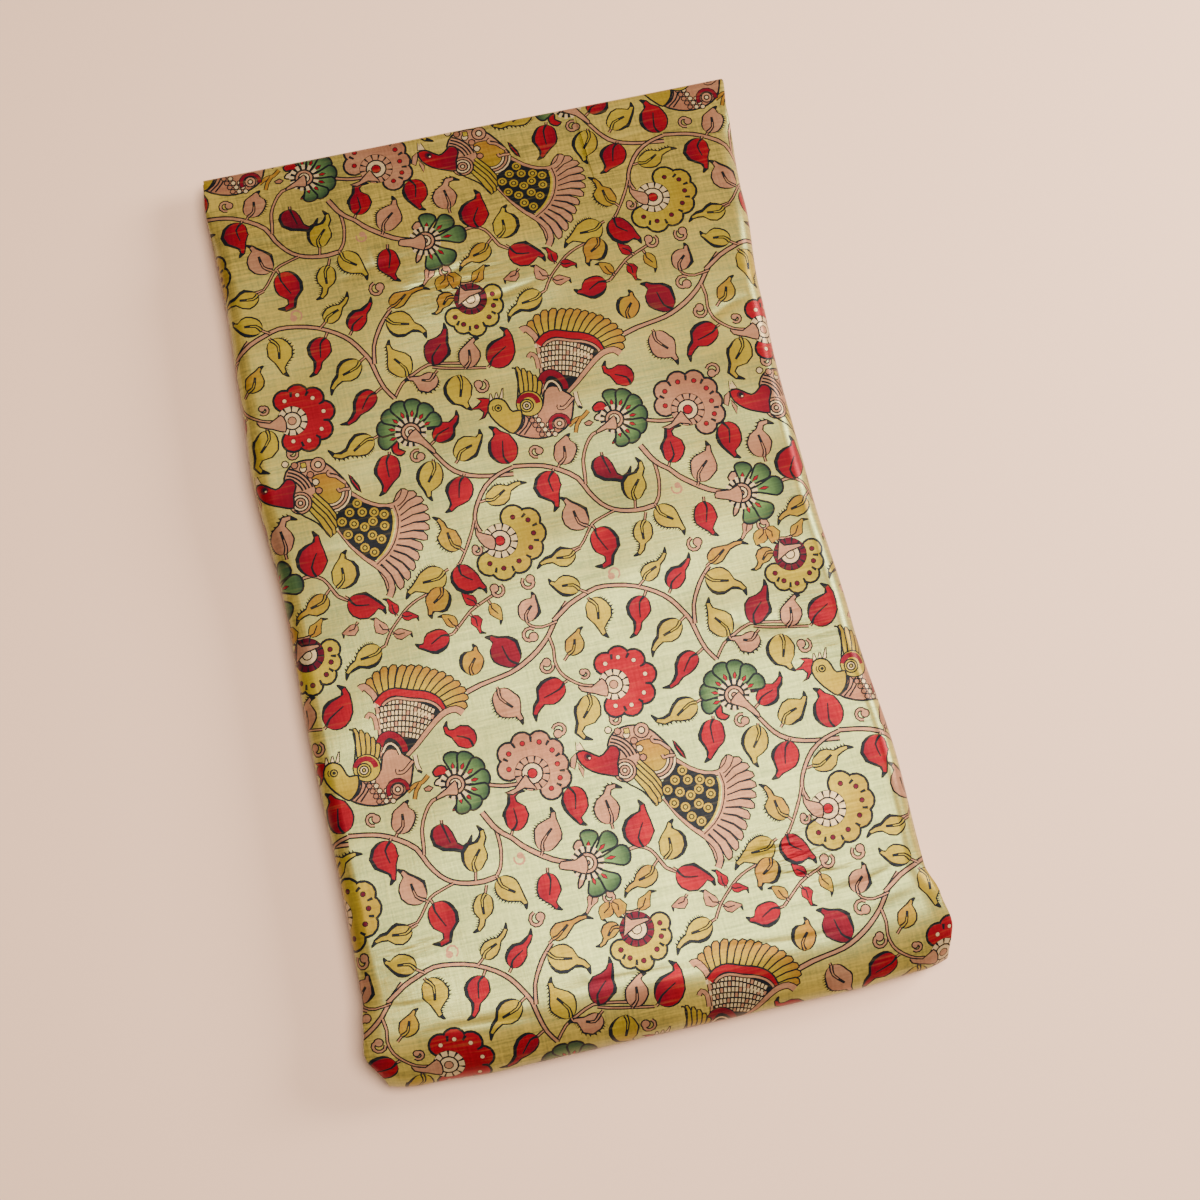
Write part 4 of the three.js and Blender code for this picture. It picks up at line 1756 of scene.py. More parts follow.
class RepeatTree:
    """Geometry Nodes tree that repeats a block in a half drop."""

    def __init__(self, name: str) -> None:
        """Builds the tree.

        Args:
            name: Name of the node group.
        """
        self.tree = bpy.data.node_groups.new(name, "GeometryNodeTree")
        face = self.tree.interface
        face.new_socket("Block", in_out="INPUT", socket_type="NodeSocketGeometry")
        self.sockets = {}
        for label, kind in (("Columns", "NodeSocketInt"), ("Rows", "NodeSocketInt"),
            ("First", "NodeSocketVector"), ("Column Step", "NodeSocketVector"),
            ("Block Step", "NodeSocketVector"), ("Drop", "NodeSocketFloat"), ("Weld", "NodeSocketFloat"),
            ("Material", "NodeSocketMaterial")):
            self.sockets[label] = face.new_socket(label, in_out="INPUT", socket_type=kind).identifier
        face.new_socket("Print", in_out="OUTPUT", socket_type="NodeSocketGeometry")
        self.build()

    def build(self) -> None:
        """Joins the nodes."""
        maker = NodeMaker(self.tree)
        start, end = (maker.node(kind, {}) for kind in ("NodeGroupInput", "NodeGroupOutput"))
        given = start.outputs

        def math_of(kind: str, first: Socket, second: Socket | float = 0.0) -> Socket:
            """Adds a sum of two values."""
            return maker.node("ShaderNodeMath", {0: first, 1: second}, operation=kind).outputs[0]

        def vector_of(kind: str, first: Socket, key: int | str, second: Socket) -> Socket:
            """Adds a sum of a vector and another value."""
            return maker.node("ShaderNodeVectorMath", {0: first, key: second}, operation=kind).outputs[0]

        index = maker.node("GeometryNodeInputIndex", {}).outputs[0]
        column = math_of("FLOOR", math_of("DIVIDE", index, given["Rows"]))
        row = math_of("MODULO", index, given["Rows"])
        up = math_of("ADD", row, math_of("MULTIPLY", math_of("MODULO", column, 2.0), given["Drop"]))
        place = vector_of("ADD", vector_of("SCALE", given["Column Step"], "Scale", column), 1,
            vector_of("SCALE", given["Block Step"], "Scale", up))
        place = vector_of("ADD", place, 1, given["First"])
        count = math_of("MULTIPLY", given["Columns"], given["Rows"])
        points = maker.node("GeometryNodePoints", {"Count": count, "Position": place})
        copies = maker.node("GeometryNodeInstanceOnPoints", {"Points": points.outputs[0],
            "Instance": given["Block"]})
        real = maker.node("GeometryNodeRealizeInstances", {0: copies.outputs[0]})
        weld = maker.node("GeometryNodeMergeByDistance", {"Geometry": real.outputs[0],
            "Distance": given["Weld"]})
        paint = maker.node("GeometryNodeSetMaterial", {"Geometry": weld.outputs[0],
            "Material": given["Material"]})
        self.tree.links.new(paint.outputs[0], end.inputs[0])

    def run(self, block: bpy.types.Mesh, repeat: HalfDrop, low: float, high: float,
            material: bpy.types.Material) -> bpy.types.Mesh:
        """Repeats a block over a stretch of cloth.

        Args:
            block: Mesh of one block.
            repeat: Steps of the repeat.
            low: Lowest place along that is covered.
            high: Highest place along that is covered.
            material: Material of the print.

        Returns:
            The repeated print.
        """
        side, step = repeat.side, np.array(repeat.block)
        first_column = -2
        bottom = math.floor((low - repeat.corner[1]) / step[1] - 0.6)
        rows = math.ceil((high - repeat.corner[1]) / step[1] + 0.1) - bottom
        first = first_column * side + bottom * step
        values = {"Columns": 4, "Rows": rows, "First": (*(first * MM), 0.0),
            "Column Step": (*(side * MM), 0.0), "Block Step": (*(step * MM), 0.0), "Drop": 0.5,
            "Weld": 0.05 * MM, "Material": material}
        holder = put("repeat_holder", block)
        modifier = holder.modifiers.new("repeat", "NODES")
        modifier.node_group = self.tree
        for label, value in values.items():
            modifier[self.sockets[label]] = value
        found = holder.evaluated_get(bpy.context.evaluated_depsgraph_get())
        mesh = bpy.data.meshes.new_from_object(found)
        holder.modifiers.remove(modifier)
        bpy.data.objects.remove(holder)
        return mesh


@dataclass
class Patch:
    """Flat stretch of the cloth: points x across and v along it, triangles, colours and border edges."""

    points: Array
    faces: Array
    colours: Array
    rims: Array


def cut_strip(mesh: bpy.types.Mesh, surface: ClothSurface, low: float, high: float,
        lines: list[float]) -> Patch:
    """Cuts the repeated print to a stretch of the cloth.

    Args:
        mesh: The repeated print.
        surface: The cloth's mapping.
        low: Where the stretch starts along the cloth.
        high: Where it ends.
        lines: Places along the cloth where the folds need a line of points.

    Returns:
        The stretch.
    """
    origin = surface.course.origin
    sheet = bmesh.new()
    sheet.from_mesh(mesh)
    for vert in sheet.verts:
        vert.co = (vert.co.x / MM, origin - vert.co.y / MM, 0.0)

    def slice_at(place: Vector, way: Vector, outer: bool, inner: bool) -> None:
        """Cuts all faces at a plane, and clears what lies past it or before it."""
        bmesh.ops.bisect_plane(sheet, geom=[*sheet.verts, *sheet.edges, *sheet.faces], dist=1e-4,
            plane_co=place, plane_no=way, clear_outer=outer, clear_inner=inner)

    def shift(side: int, way: int) -> None:
        """Moves the points so that one side of the cloth lies at x = 0 (way -1), or back (way 1)."""
        places = np.array([v.co[:2] for v in sheet.verts])
        for vert, edge in zip(sheet.verts, surface.sides(places[:, 1])[side]):
            vert.co.x += way * edge

    slice_at(Vector((0, low, 0)), Vector((0, 1, 0)), False, True)
    slice_at(Vector((0, high, 0)), Vector((0, 1, 0)), True, False)
    for side, turn in ((0, 1), (1, -1)):
        shift(side, -1)
        slice_at(Vector((0, 0, 0)), Vector((1, 0, 0)), side == 1, side == 0)
        for k in (1, 2, 3, 4):
            slice_at(Vector((SIDE_STEP * k * turn, 0, 0)), Vector((1, 0, 0)), False, False)
        shift(side, 1)
    for line in lines:
        slice_at(Vector((0, line, 0)), Vector((0, 1, 0)), False, False)
    for crease in CREASES:
        slice_along(sheet, crease, origin)
    bmesh.ops.remove_doubles(sheet, verts=sheet.verts[:], dist=MERGE)
    bmesh.ops.triangulate(sheet, faces=sheet.faces[:])
    for _ in range(8):
        if stitch(sheet) == 0:
            break
    sheet.verts.index_update()
    layer = sheet.loops.layers.float_color["print"]
    points = np.array([v.co[:2] for v in sheet.verts])
    faces = np.array([[v.index for v in f.verts] for f in sheet.faces])
    colours = np.array([[tuple(loop[layer]) for loop in f.loops] for f in sheet.faces], dtype=np.float32)
    rims = np.array([[v.index for v in e.verts] for e in sheet.edges if len(e.link_faces) == 1])
    rims = rims[surface.on_border(points, low, high)[rims].all(axis=1)]
    sheet.free()
    turned = cross_of(points, faces) > 0
    faces[turned] = faces[turned][:, ::-1]
    colours[turned] = colours[turned][:, ::-1]
    return Patch(points, faces, colours, rims)


def slice_along(sheet: bmesh.types.BMesh, crease: Crease, origin: float) -> None:
    """Cuts the faces under a crease along it, so that its trough has points.

    Args:
        sheet: Flat print, x across and v along the cloth.
        crease: The crease.
        origin: Place along the cloth where y is 0.
    """
    start = Vector((crease.x, origin - crease.y, 0))
    way = Vector((crease.to_x, origin - crease.to_y, 0)) - start
    length = way.length
    way.normalize()
    across = Vector((-way.y, way.x, 0))
    reach = 2 * crease.width + abs(crease.bow)
    cuts = [(start + across * crease.width * k, across) for k in (-1.6, -0.7, 0.0, 0.7, 1.6)]
    cuts += [(start + way * length * k, way) for k in (0.2, 0.4, 0.6, 0.8)]
    near = []
    for face in sheet.faces:
        off = face.verts[0].co - start
        if abs(off.dot(across)) < reach + 12 and -12 < off.dot(way) < length + 12:
            off = face.calc_center_median() - start
            if abs(off.dot(across)) < reach and 0 < off.dot(way) < length:
                near.append(face)
    geom = list({*near, *(e for f in near for e in f.edges), *(v for f in near for v in f.verts)})
    for place, normal in cuts:
        geom = bmesh.ops.bisect_plane(sheet, geom=geom, dist=1e-3, plane_co=place, plane_no=normal)["geom"]


def stitch(sheet: bmesh.types.BMesh) -> int:
    """Splits open edges where a point of a neighbouring face lies on them, and joins the two.

    Args:
        sheet: Flat mesh.

    Returns:
        Number of edges that were split.
    """
    loose = [edge for edge in sheet.edges if len(edge.link_faces) == 1]
    if not loose:
        return 0
    points = np.array([vert.co[:2] for vert in {v for edge in loose for v in edge.verts}])
    splits = 0
    for edge in loose:
        start, end = (np.array(vert.co[:2]) for vert in edge.verts)
        way = end - start
        length = float(np.hypot(*way))
        along = (points - start) @ way / max(length, 1e-9)
        off = np.abs((points - start) @ np.array([-way[1], way[0]])) / max(length, 1e-9)
        hits = np.nonzero((off < 0.03) & (along > 0.03) & (along < length - 0.03))[0]
        if len(hits):
            first = hits[np.argmin(along[hits])]
            _, fresh = bmesh.utils.edge_split(edge, edge.verts[0], along[first] / length)
            fresh.co = (*points[first], 0.0)
            splits += 1
    bmesh.ops.remove_doubles(sheet, verts=sheet.verts[:], dist=MERGE)
    bmesh.ops.triangulate(sheet, faces=[face for face in sheet.faces if len(face.verts) > 3])
    return splits


def cross_of(points: Array, faces: Array) -> Array:
    """Gives twice the signed area of flat triangles."""
    a, b, c = (points[faces[:, k]] for k in range(3))
    return (b[:, 0] - a[:, 0]) * (c[:, 1] - a[:, 1]) - (b[:, 1] - a[:, 1]) * (c[:, 0] - a[:, 0])


class PrintedCloth:
    """The whole cloth: printed face, plain face and the edges between them."""

    def __init__(self, surface: ClothSurface, repeat: HalfDrop, material: bpy.types.Material) -> None:
        """Keeps what the cloth is made from.

        Args:
            surface: The cloth's mapping into the bundle.
            repeat: Steps of the print's repeat.
            material: The silk.
        """
        self.surface = surface
        self.repeat = repeat
        self.material = material
        self.fine_start = surface.course.wrap - 4
        self.fine_end = surface.course.under
        self.under_start = surface.course.under + 2.5
        self.width = 370.0

    def even(self, points: Array) -> Array:
        """Straightens the cloth's edges.

        Args:
            points: Array of x, v rows.

        Returns:
            The rows with x counted from the left edge, on an even width.
        """
        left, right = self.surface.sides(points[:, 1])
        share = (points[:, 0] - left) / (right - left)
        share = np.where(share < 1e-4, 0, np.where(share > 1 - 1e-4, 1, share))
        return np.column_stack([share * self.width, points[:, 1]])

    def rows(self, low: float, high: float, reach: float, turn: float) -> Array:
        """Picks places along the cloth that follow its folds.

        Args:
            low: First place.
            high: Last place.
            reach: Longest step.
            turn: Largest turn in one step, in radians.

        Returns:
            The places.
        """
        course = self.surface.course
        section = self.surface.section
        near_head = smooth(1 - (section.half_length - course.table[:, 0]) / section.slope_length)
        fall = course.table[:, 2] * near_head
        run = np.gradient(np.column_stack([course.table[:, 0], course.table[:, 1] - fall]), axis=0)
        angle = np.unwrap(np.arctan2(run[:, 1], run[:, 0]))
        picked = [low]
        last = float(np.interp(low, course.places, angle))
        for place, now in zip(course.places, angle):
            if low + 1 < place < high - 1 and (place - picked[-1] > reach or abs(now - last) > turn):
                picked.append(float(place))
                last = float(now)
        return np.array([*picked, high])

    def grid(self, places: Array, middle: int) -> Array:
        """Places a net of points, closer on the side bends.

        Args:
            places: Rows along the cloth.
            middle: Steps across the flat middle.

        Returns:
            Array of x, v rows.
        """
        left, right = self.surface.sides(places)
        side, bend = self.surface.section.side_bend, SIDE_STEP * np.arange(4)
        inner = np.linspace(0, 1, middle + 1)
        points = []
        for v, a, b in zip(places, left, right):
            x = np.concatenate([a + bend, a + side + (b - a - 2 * side) * inner, b - bend[::-1]])
            points.append(np.column_stack([x, np.full(len(x), v)]))
        return np.vstack(points)

    def filled(self, taken: Array, edges: Array, net: Array) -> tuple[Array, Array, Array]:
        """Triangulates the whole width through given points and edges.

        Args:
            taken: Points that must stay.
            edges: Pairs of their numbers that must stay joined.
            net: Extra points.

        Returns:
            Points, triangles, and for each point its number among the given ones or -1.
        """
        every = np.vstack([taken, net])
        flat = self.even(every)
        found, _, faces, originals, _, _ = delaunay_2d_cdt([Vector(p) for p in flat], edges.tolist(), [], 0,
            1e-3, True)
        flat_found = np.array([tuple(v) for v in found])
        left, right = self.surface.sides(flat_found[:, 1])
        places = np.column_stack([left + flat_found[:, 0] / self.width * (right - left), flat_found[:, 1]])
        given = np.full(len(found), -1)
        for k, sources in enumerate(originals):
            if sources:
                given[k] = min(sources)
                places[k] = every[given[k]]
        triangles = np.array(faces)
        given[given >= len(taken)] = -1
        turned = cross_of(flat_found, triangles) > 0
        triangles[turned] = triangles[turned][:, ::-1]
        return places, triangles, given

    def printed_at(self, block: PrintBlock, points: Array, faces: Array) -> Array:
        """Reads the print at the middle of each triangle.

        Args:
            block: The print.
            points: Array of x, v rows.
            faces: Triangles.

        Returns:
            Colour of each corner.
        """
        centre = points[faces].mean(axis=1)
        flat = np.column_stack([centre[:, 0], self.surface.course.origin - centre[:, 1]])
        share = self.repeat.place(flat)
        column = np.floor(share[:, 0])
        flat = flat - column[:, None] * np.array(self.repeat.column)
        share = self.repeat.place(flat)
        flat = flat - np.floor(share[:, 1])[:, None] * np.array(self.repeat.block)
        shapes = block.shapes()
        pastes = np.array([*((*shape.ink.rgb, 1.0) for shape in shapes), (0.0,) * 4], dtype=np.float32)
        return np.repeat(pastes[block.owners(shapes, flat)][:, None], 3, axis=1)

    def front(self) -> Patch:
        """Makes the printed face.

        Returns:
            The face, flat.
        """
        course = self.surface.course
        tree = RepeatTree("half_drop_repeat")
        fine_block = PrintBlock(self.repeat, 1.0, 10.0, 0.12, 0.0)
        under_block = PrintBlock(self.repeat, 0.45, 18.0, 0.9, 7.0)
        strips = []
        for block, low, high in ((fine_block, self.fine_start, self.fine_end),
            (under_block, self.under_start, course.end)):
            mesh = tree.run(block.mesh("print_block"), self.repeat, course.origin - high, course.origin - low,
                self.material)
            strips.append(cut_strip(mesh, self.surface, low, high, list(self.rows(low, high, 60, 0.2)[1:-1])))
            bpy.data.meshes.remove(mesh)
            log.info("strip from %.0f mm: %d triangles", low, len(strips[-1].faces))
        fine, under = strips
        taken = np.vstack([fine.points, under.points])
        used, lines = np.unique(np.vstack([fine.rims, under.rims + len(fine.points)]), return_inverse=True)
        net = self.grid(self.rows(0, self.fine_start, 30, 0.45)[:-1], 7)
        places, faces, given = self.filled(taken[used], lines.reshape(-1, 2), net)
        centre = places[faces].mean(axis=1)[:, 1]
        inner = centre < self.fine_start
        gap = (centre > self.fine_end) & (centre < self.under_start)
        faces = faces[inner | gap]
        number = np.full(len(places), -1)
        known = given >= 0
        number[known] = used[given[known]]
        fresh = np.nonzero(~known)[0]
        number[fresh] = len(taken) + np.arange(len(fresh))
        points = np.vstack([taken, places[fresh]])
        faces = number[faces]
        colours = self.printed_at(fine_block, points, faces)
        all_faces = np.vstack([fine.faces, under.faces + len(fine.points), faces])
        all_colours = np.concatenate([fine.colours, under.colours, colours])
        rims = open_edges(all_faces)
        outer = self.surface.on_border(points, 0, course.end)[rims].all(axis=1)
        log.info("open edges inside the cloth: %d", int((~outer).sum()))
        return Patch(points, all_faces, all_colours, rims[outer])

    def build(self, name: str) -> bpy.types.Object:
        """Makes the cloth.

        Args:
            name: Name of its object.

        Returns:
            The object.
        """
        surface, course = self.surface, self.surface.course
        front = self.front()
        on_rim = np.unique(front.rims)
        log.info("rim of %d points", len(on_rim))
        net = self.grid(self.rows(0, course.end, 30, 0.45)[1:-1], 7)
        local = np.full(len(front.points), -1)
        local[on_rim] = np.arange(len(on_rim))
        inside = self.even(net)
        net = net[(inside[:, 0] > 0.5) & (inside[:, 0] < self.width - 0.5)]
        plain, faces, given = self.filled(front.points[on_rim], local[front.rims], net)
        back_of = np.full(len(on_rim), -1)
        back_of[given[given >= 0]] = np.nonzero(given >= 0)[0]
        log.info("rim points without a partner: %d", int((back_of < 0).sum()))
        face_out, face_way = surface.face(front.points[:, 0], front.points[:, 1], 1)
        plain_out, plain_way = surface.face(plain[:, 0], plain[:, 1], -1)
        rim = front.points[on_rim]
        left, right = surface.sides(rim[:, 1])
        first = rim[:, 1] < BORDER
        sideways = np.where(rim[:, 0] < left + BORDER, -1, np.where(rim[:, 0] > right - BORDER, 1, 0))
        lengthways = np.where(first, -1, np.where(rim[:, 1] > course.end - BORDER, 1, 0))
        step = 0.8
        tx = surface.creased(rim[:, 0] + step, rim[:, 1]) - surface.creased(rim[:, 0] - step, rim[:, 1])
        tv = surface.creased(rim[:, 0], rim[:, 1] + step) - surface.creased(rim[:, 0], rim[:, 1] - step)
        tx /= np.linalg.norm(tx, axis=1)[:, None]
        tv /= np.maximum(np.linalg.norm(tv, axis=1), 1e-9)[:, None]
        tv[first] = (surface.creased(rim[:, 0], rim[:, 1] + step) - surface.creased(rim[:, 0],
            rim[:, 1]))[first]
        outward = tx * sideways[:, None] + tv * lengthways[:, None]
        outward /= np.maximum(np.linalg.norm(outward, axis=1), 1e-9)[:, None]
        mid = surface.creased(rim[:, 0], rim[:, 1]) + outward * 0.7
        mid[:, 2] = np.maximum(mid[:, 2], 0.3)
        face_way[on_rim] += 0.5 * outward
        plain_way[back_of] += 0.5 * outward
        count, back_start = len(front.points), len(front.points) + len(on_rim)
        points = np.vstack([face_out, mid, plain_out])
        ways = np.vstack([face_way, outward, plain_way])
        ways /= np.linalg.norm(ways, axis=1)[:, None]
        rim_flat = rim + np.column_stack([sideways * 1.2, lengthways * 1.2])
        flat = np.vstack([front.points, rim_flat, plain])
        corner_of = {}
        for number, face in enumerate(front.faces):
            for k in range(3):
                corner_of[(face[k], face[(k + 1) % 3])] = (number, k, (k + 1) % 3)
        hem_faces, hem_colours, hem_kind = [], [], []
        for a, b in front.rims:
            if (a, b) not in corner_of:
                a, b = b, a
            number, k, n = corner_of[(a, b)]
            ca, cb = front.colours[number, k], front.colours[number, n]
            ma, mb = count + local[a], count + local[b]
            ba, bb = back_start + back_of[local[a]], back_start + back_of[local[b]]
            hem_faces += [(b, a, ma), (b, ma, mb), (mb, ma, ba), (mb, ba, bb)]
            hem_colours += [(cb, ca, ca), (cb, ca, cb), (cb, ca, ca), (cb, ca, cb)]
            hem_kind += [0, 0, 1, 1]
        back_faces = faces[:, ::-1] + back_start
        back_colours = np.zeros((len(back_faces), 3, 4), dtype=np.float32)
        every = np.vstack([front.faces, np.array(hem_faces), back_faces])
        colours = np.concatenate([front.colours, np.array(hem_colours, dtype=np.float32), back_colours])
        reverse = np.concatenate([np.zeros(len(front.faces)), hem_kind,
            np.ones(len(back_faces))]).astype(bool)
        _, number, count = np.unique(np.sort(every, axis=1), axis=0, return_inverse=True, return_counts=True)
        single = count[number.ravel()] == 1
        mesh = self.mesh(name, points, every[single], ways, colours[single], flat, reverse[single])
        return put(name, mesh)

    def mesh(self, name: str, points: Array, faces: Array, ways: Array, colours: Array, flat: Array,
            reverse: Array) -> bpy.types.Mesh:
        """Makes the mesh with its colours, maps and smooth shading.

        Args:
            name: Name of the mesh.
            points: Places in the bundle.
            faces: Triangles.
            ways: Way out of the cloth at each point.
            colours: Colour of each corner.
            flat: Flat place of each point, x across and v along.
            reverse: Whether each triangle is on the plain side.

        Returns:
            The mesh.
        """
        mesh = bpy.data.meshes.new(name)
        mesh.from_pydata((points * MM).tolist(), [], faces.tolist())
        mesh.materials.append(self.material)
        layer = mesh.color_attributes.new("print", "FLOAT_COLOR", "CORNER")
        layer.data.foreach_set("color", colours.astype(np.float32).ravel())
        weave = mesh.uv_layers.new(name="weave")
        corner = flat[faces].reshape(-1, 2) * MM
        weave.data.foreach_set("uv", corner.astype(np.float32).ravel())
        bake = mesh.uv_layers.new(name="OFBake")
        bake.data.foreach_set("uv", self.bake_map(flat, faces, reverse).astype(np.float32).ravel())
        mesh.shade_smooth()
        mesh.normals_split_custom_set_from_vertices(ways.tolist())
        mesh.update()
        return mesh

    def bake_map(self, flat: Array, faces: Array, reverse: Array) -> Array:
        """Lays the cloth out in one square, its outer face large.

        Args:
            flat: Flat place of each point.
            faces: Triangles.
            reverse: Whether each triangle is on the plain side.

        Returns:
            Place of each corner in the square.
        """
        middle = flat[faces].mean(axis=1)[:, 1]
        x, v = flat[faces].reshape(-1, 2).T
        x = x + ROOM / 2 - 4
        kinds = np.select([reverse, middle < self.fine_start, middle < self.fine_end], [3, 2, 0], 1)
        large, under, thin = 0.96 / (self.fine_end - self.fine_start), 0.36 / ROOM, 0.15 / ROOM
        maps = ((0.02 + x * large, 0.02 + (v - self.fine_start) * large),
                (0.62 + x * under, 0.02 + (v - self.fine_end) * under),
                (0.62 + v * (0.36 / self.fine_start), 0.62 + x * thin),
                (0.62 + v * (0.36 / self.surface.course.end), 0.81 + x * thin))
        return np.stack([np.choose(np.repeat(kinds, 3), column) for column in zip(*maps)], axis=1)


def open_edges(faces: Array) -> Array:
    """Finds the edges that only one triangle has.

    Args:
        faces: Triangles.

    Returns:
        Point numbers of each such edge.
    """
    edges = edges_of(faces)
    both = np.sort(edges, axis=1)
    _, first, count = np.unique(both, axis=0, return_index=True, return_counts=True)
    return edges[first[count == 1]]


def thread_group() -> bpy.types.ShaderNodeTree:
    """Builds the node group for slubby silk threads.

    Returns:
        Group that takes a place on the cloth and gives the thread's tone, the slubs and the broad tone.
    """
    tree = bpy.data.node_groups.new("silk_threads", "ShaderNodeTree")
    tree.interface.new_socket("Place", in_out="INPUT", socket_type="NodeSocketVector")
    for name in ("Thread", "Slub", "Cloud"):
        tree.interface.new_socket(name, in_out="OUTPUT", socket_type="NodeSocketFloat")
    maker = NodeMaker(tree)
    place = tree.nodes.new("NodeGroupInput").outputs["Place"]
    weft = maker.stretched_noise(place, 34.0, 720.0, 1.5)
    warp = maker.stretched_noise(place, 700.0, 50.0, 1.0)
    fibre = maker.stretched_noise(place, 600.0, 760.0, 0.0)
    slub = maker.stretched_noise(place, 26.0, 440.0, 1.5)
    cloud = maker.stretched_noise(place, 15.0, 12.0, 3.0)
    end = tree.nodes.new("NodeGroupOutput")
    tree.links.new(maker.sum_of([(weft, 0.32), (slub, 0.28), (warp, 0.26), (fibre, 0.14)]),
        end.inputs["Thread"])
    tree.links.new(maker.ranged(slub, 0.56, 0.70, 0.0, 1.0), end.inputs["Slub"])
    tree.links.new(cloud, end.inputs["Cloud"])
    return tree


@dataclass(frozen=True)
class Crumple:
    """Patch of fine crumples: its middle and reach on the cloth, in metres, and its strength."""

    x: float
    y: float
    reach_x: float
    reach_y: float
    strength: float


@dataclass(frozen=True)
class SilkFinish:
    """Look of the printed silk."""

    ground: Colour = (0.405, 0.350, 0.160)
    thread: Colour = (0.630, 0.530, 0.225)
    sheen: Colour = (0.79, 0.98, 0.41)
    paste_sheen: float = 2.6
    least_sheen: float = 0.015
    gloss: float = 1.0
    bend: float = 1.66
    smooth_thread: float = 0.29
    rough_thread: float = 0.40
    thread_relief: float = 0.10 * MM
    wave_relief: float = 4.0 * MM
    crumple_relief: float = 1.3 * MM
    crumples: tuple[Crumple, ...] = (
        Crumple(0.105, -0.222, 0.065, 0.040, 1.0),
        Crumple(-0.030, 0.198, 0.050, 0.028, 0.8),
        Crumple(-0.150, -0.238, 0.036, 0.034, 0.6),
        Crumple(0.150, -0.090, 0.030, 0.060, 0.4),
    )


class SilkMaterial:
    """Slubby silk with the print's pastes on it."""

    def __init__(self, finish: SilkFinish, origin: float) -> None:
        """Builds the material.

        Args:
            finish: Look of the silk.
            origin: Place along the cloth where the top layer's y is 0, in millimetres.
        """
        self.finish = finish
        self.origin = origin
        self.material = bpy.data.materials.new("tussar_silk")
        self.material.use_nodes = True
        self.maker = NodeMaker(self.material.node_tree)
        self.build()

    def build(self) -> None:
        """Joins the nodes."""
        maker, finish = self.maker, self.finish
        tree = self.material.node_tree
        shader = tree.nodes["Principled BSDF"]
        shader.inputs["Specular IOR Level"].default_value = finish.gloss
        shader.inputs["IOR"].default_value = finish.bend
        place = maker.node("ShaderNodeUVMap", {}, uv_map="weave").outputs[0]
        threads = maker.node("ShaderNodeGroup", {}, node_tree=thread_group())
        tree.links.new(place, threads.inputs["Place"])
        thread, slub, cloud = (threads.outputs[name] for name in ("Thread", "Slub", "Cloud"))
        tone = maker.sum_of([(thread, 0.75), (cloud, 0.25)])
        share = maker.ranged(tone, 0.41, 0.59, 0.0, 1.0)
        ground = maker.node("ShaderNodeMix", {"Factor": share, "A": (*linear(finish.ground), 1.0),
            "B": (*linear(finish.thread), 1.0)}, data_type="RGBA")
        paste = maker.node("ShaderNodeAttribute", {}, attribute_name="print")
        shade = maker.ranged(tone, 0.41, 0.59, 0.74, 1.16)
        ink = maker.node("ShaderNodeVectorMath", {0: paste.outputs["Color"], "Scale": shade},
            operation="SCALE")
        cover = maker.node("ShaderNodeMath", {0: paste.outputs["Alpha"],
            1: maker.ranged(slub, 0.0, 1.0, 1.0, 0.91)}, operation="MULTIPLY").outputs[0]
        colour = maker.node("ShaderNodeMix", {"Factor": cover, "A": ground.outputs["Result"],
            "B": ink.outputs[0]}, data_type="RGBA")
        tree.links.new(colour.outputs["Result"], shader.inputs["Base Color"])
        glow = maker.node("ShaderNodeVectorMath", {0: paste.outputs["Color"], 1: (finish.paste_sheen,) * 3,
            2: (finish.least_sheen,) * 3}, operation="MULTIPLY_ADD")
        tint = maker.node("ShaderNodeMix", {"Factor": paste.outputs["Alpha"], "A": (*finish.sheen, 1.0),
            "B": glow.outputs[0]}, data_type="RGBA")
        tree.links.new(tint.outputs["Result"], shader.inputs["Specular Tint"])
        rough = maker.ranged(tone, 0.38, 0.62, finish.rough_thread, finish.smooth_thread)
        tree.links.new(rough, shader.inputs["Roughness"])
        height = maker.sum_of([(thread, finish.thread_relief), (self.waves(place), finish.wave_relief),
            (self.crumples(place), finish.crumple_relief)])
        bump = maker.node("ShaderNodeBump", {"Height": height, "Distance": 1.0, "Strength": 1.0})
        tree.links.new(bump.outputs[0], shader.inputs["Normal"])

    def waves(self, place: Socket) -> Socket:
        """Adds the soft waves of the whole cloth, about 0.5."""
        return self.maker.stretched_noise(place, 9.0, 15.0, 1.0)

    def crumples(self, place: Socket) -> Socket:
        """Adds fine crumples in a few patches.

        Args:
            place: Place on the cloth in metres.

        Returns:
            Their height.
        """
        maker = self.maker
        noise = maker.stretched_noise(place, 42.0, 170.0, 2.0)
        total = 0.0
        for spot in self.finish.crumples:
            middle = (-spot.x, -(self.origin * MM - spot.y), 0.0)
            off = maker.node("ShaderNodeVectorMath", {0: place, 1: middle}, operation="ADD").outputs[0]
            scaled = maker.node("ShaderNodeVectorMath", {0: off,
                1: (1 / spot.reach_x, 1 / spot.reach_y, 0.0)}, operation="MULTIPLY").outputs[0]
            far = maker.node("ShaderNodeVectorMath", {0: scaled}, operation="LENGTH").outputs["Value"]
            near = maker.ranged(far, 0.2, 1.0, spot.strength, 0.0)
            total = maker.node("ShaderNodeMath", {0: near, 1: total}, operation="ADD").outputs[0]
        return maker.node("ShaderNodeMath", {0: noise, 1: total}, operation="MULTIPLY").outputs[0]


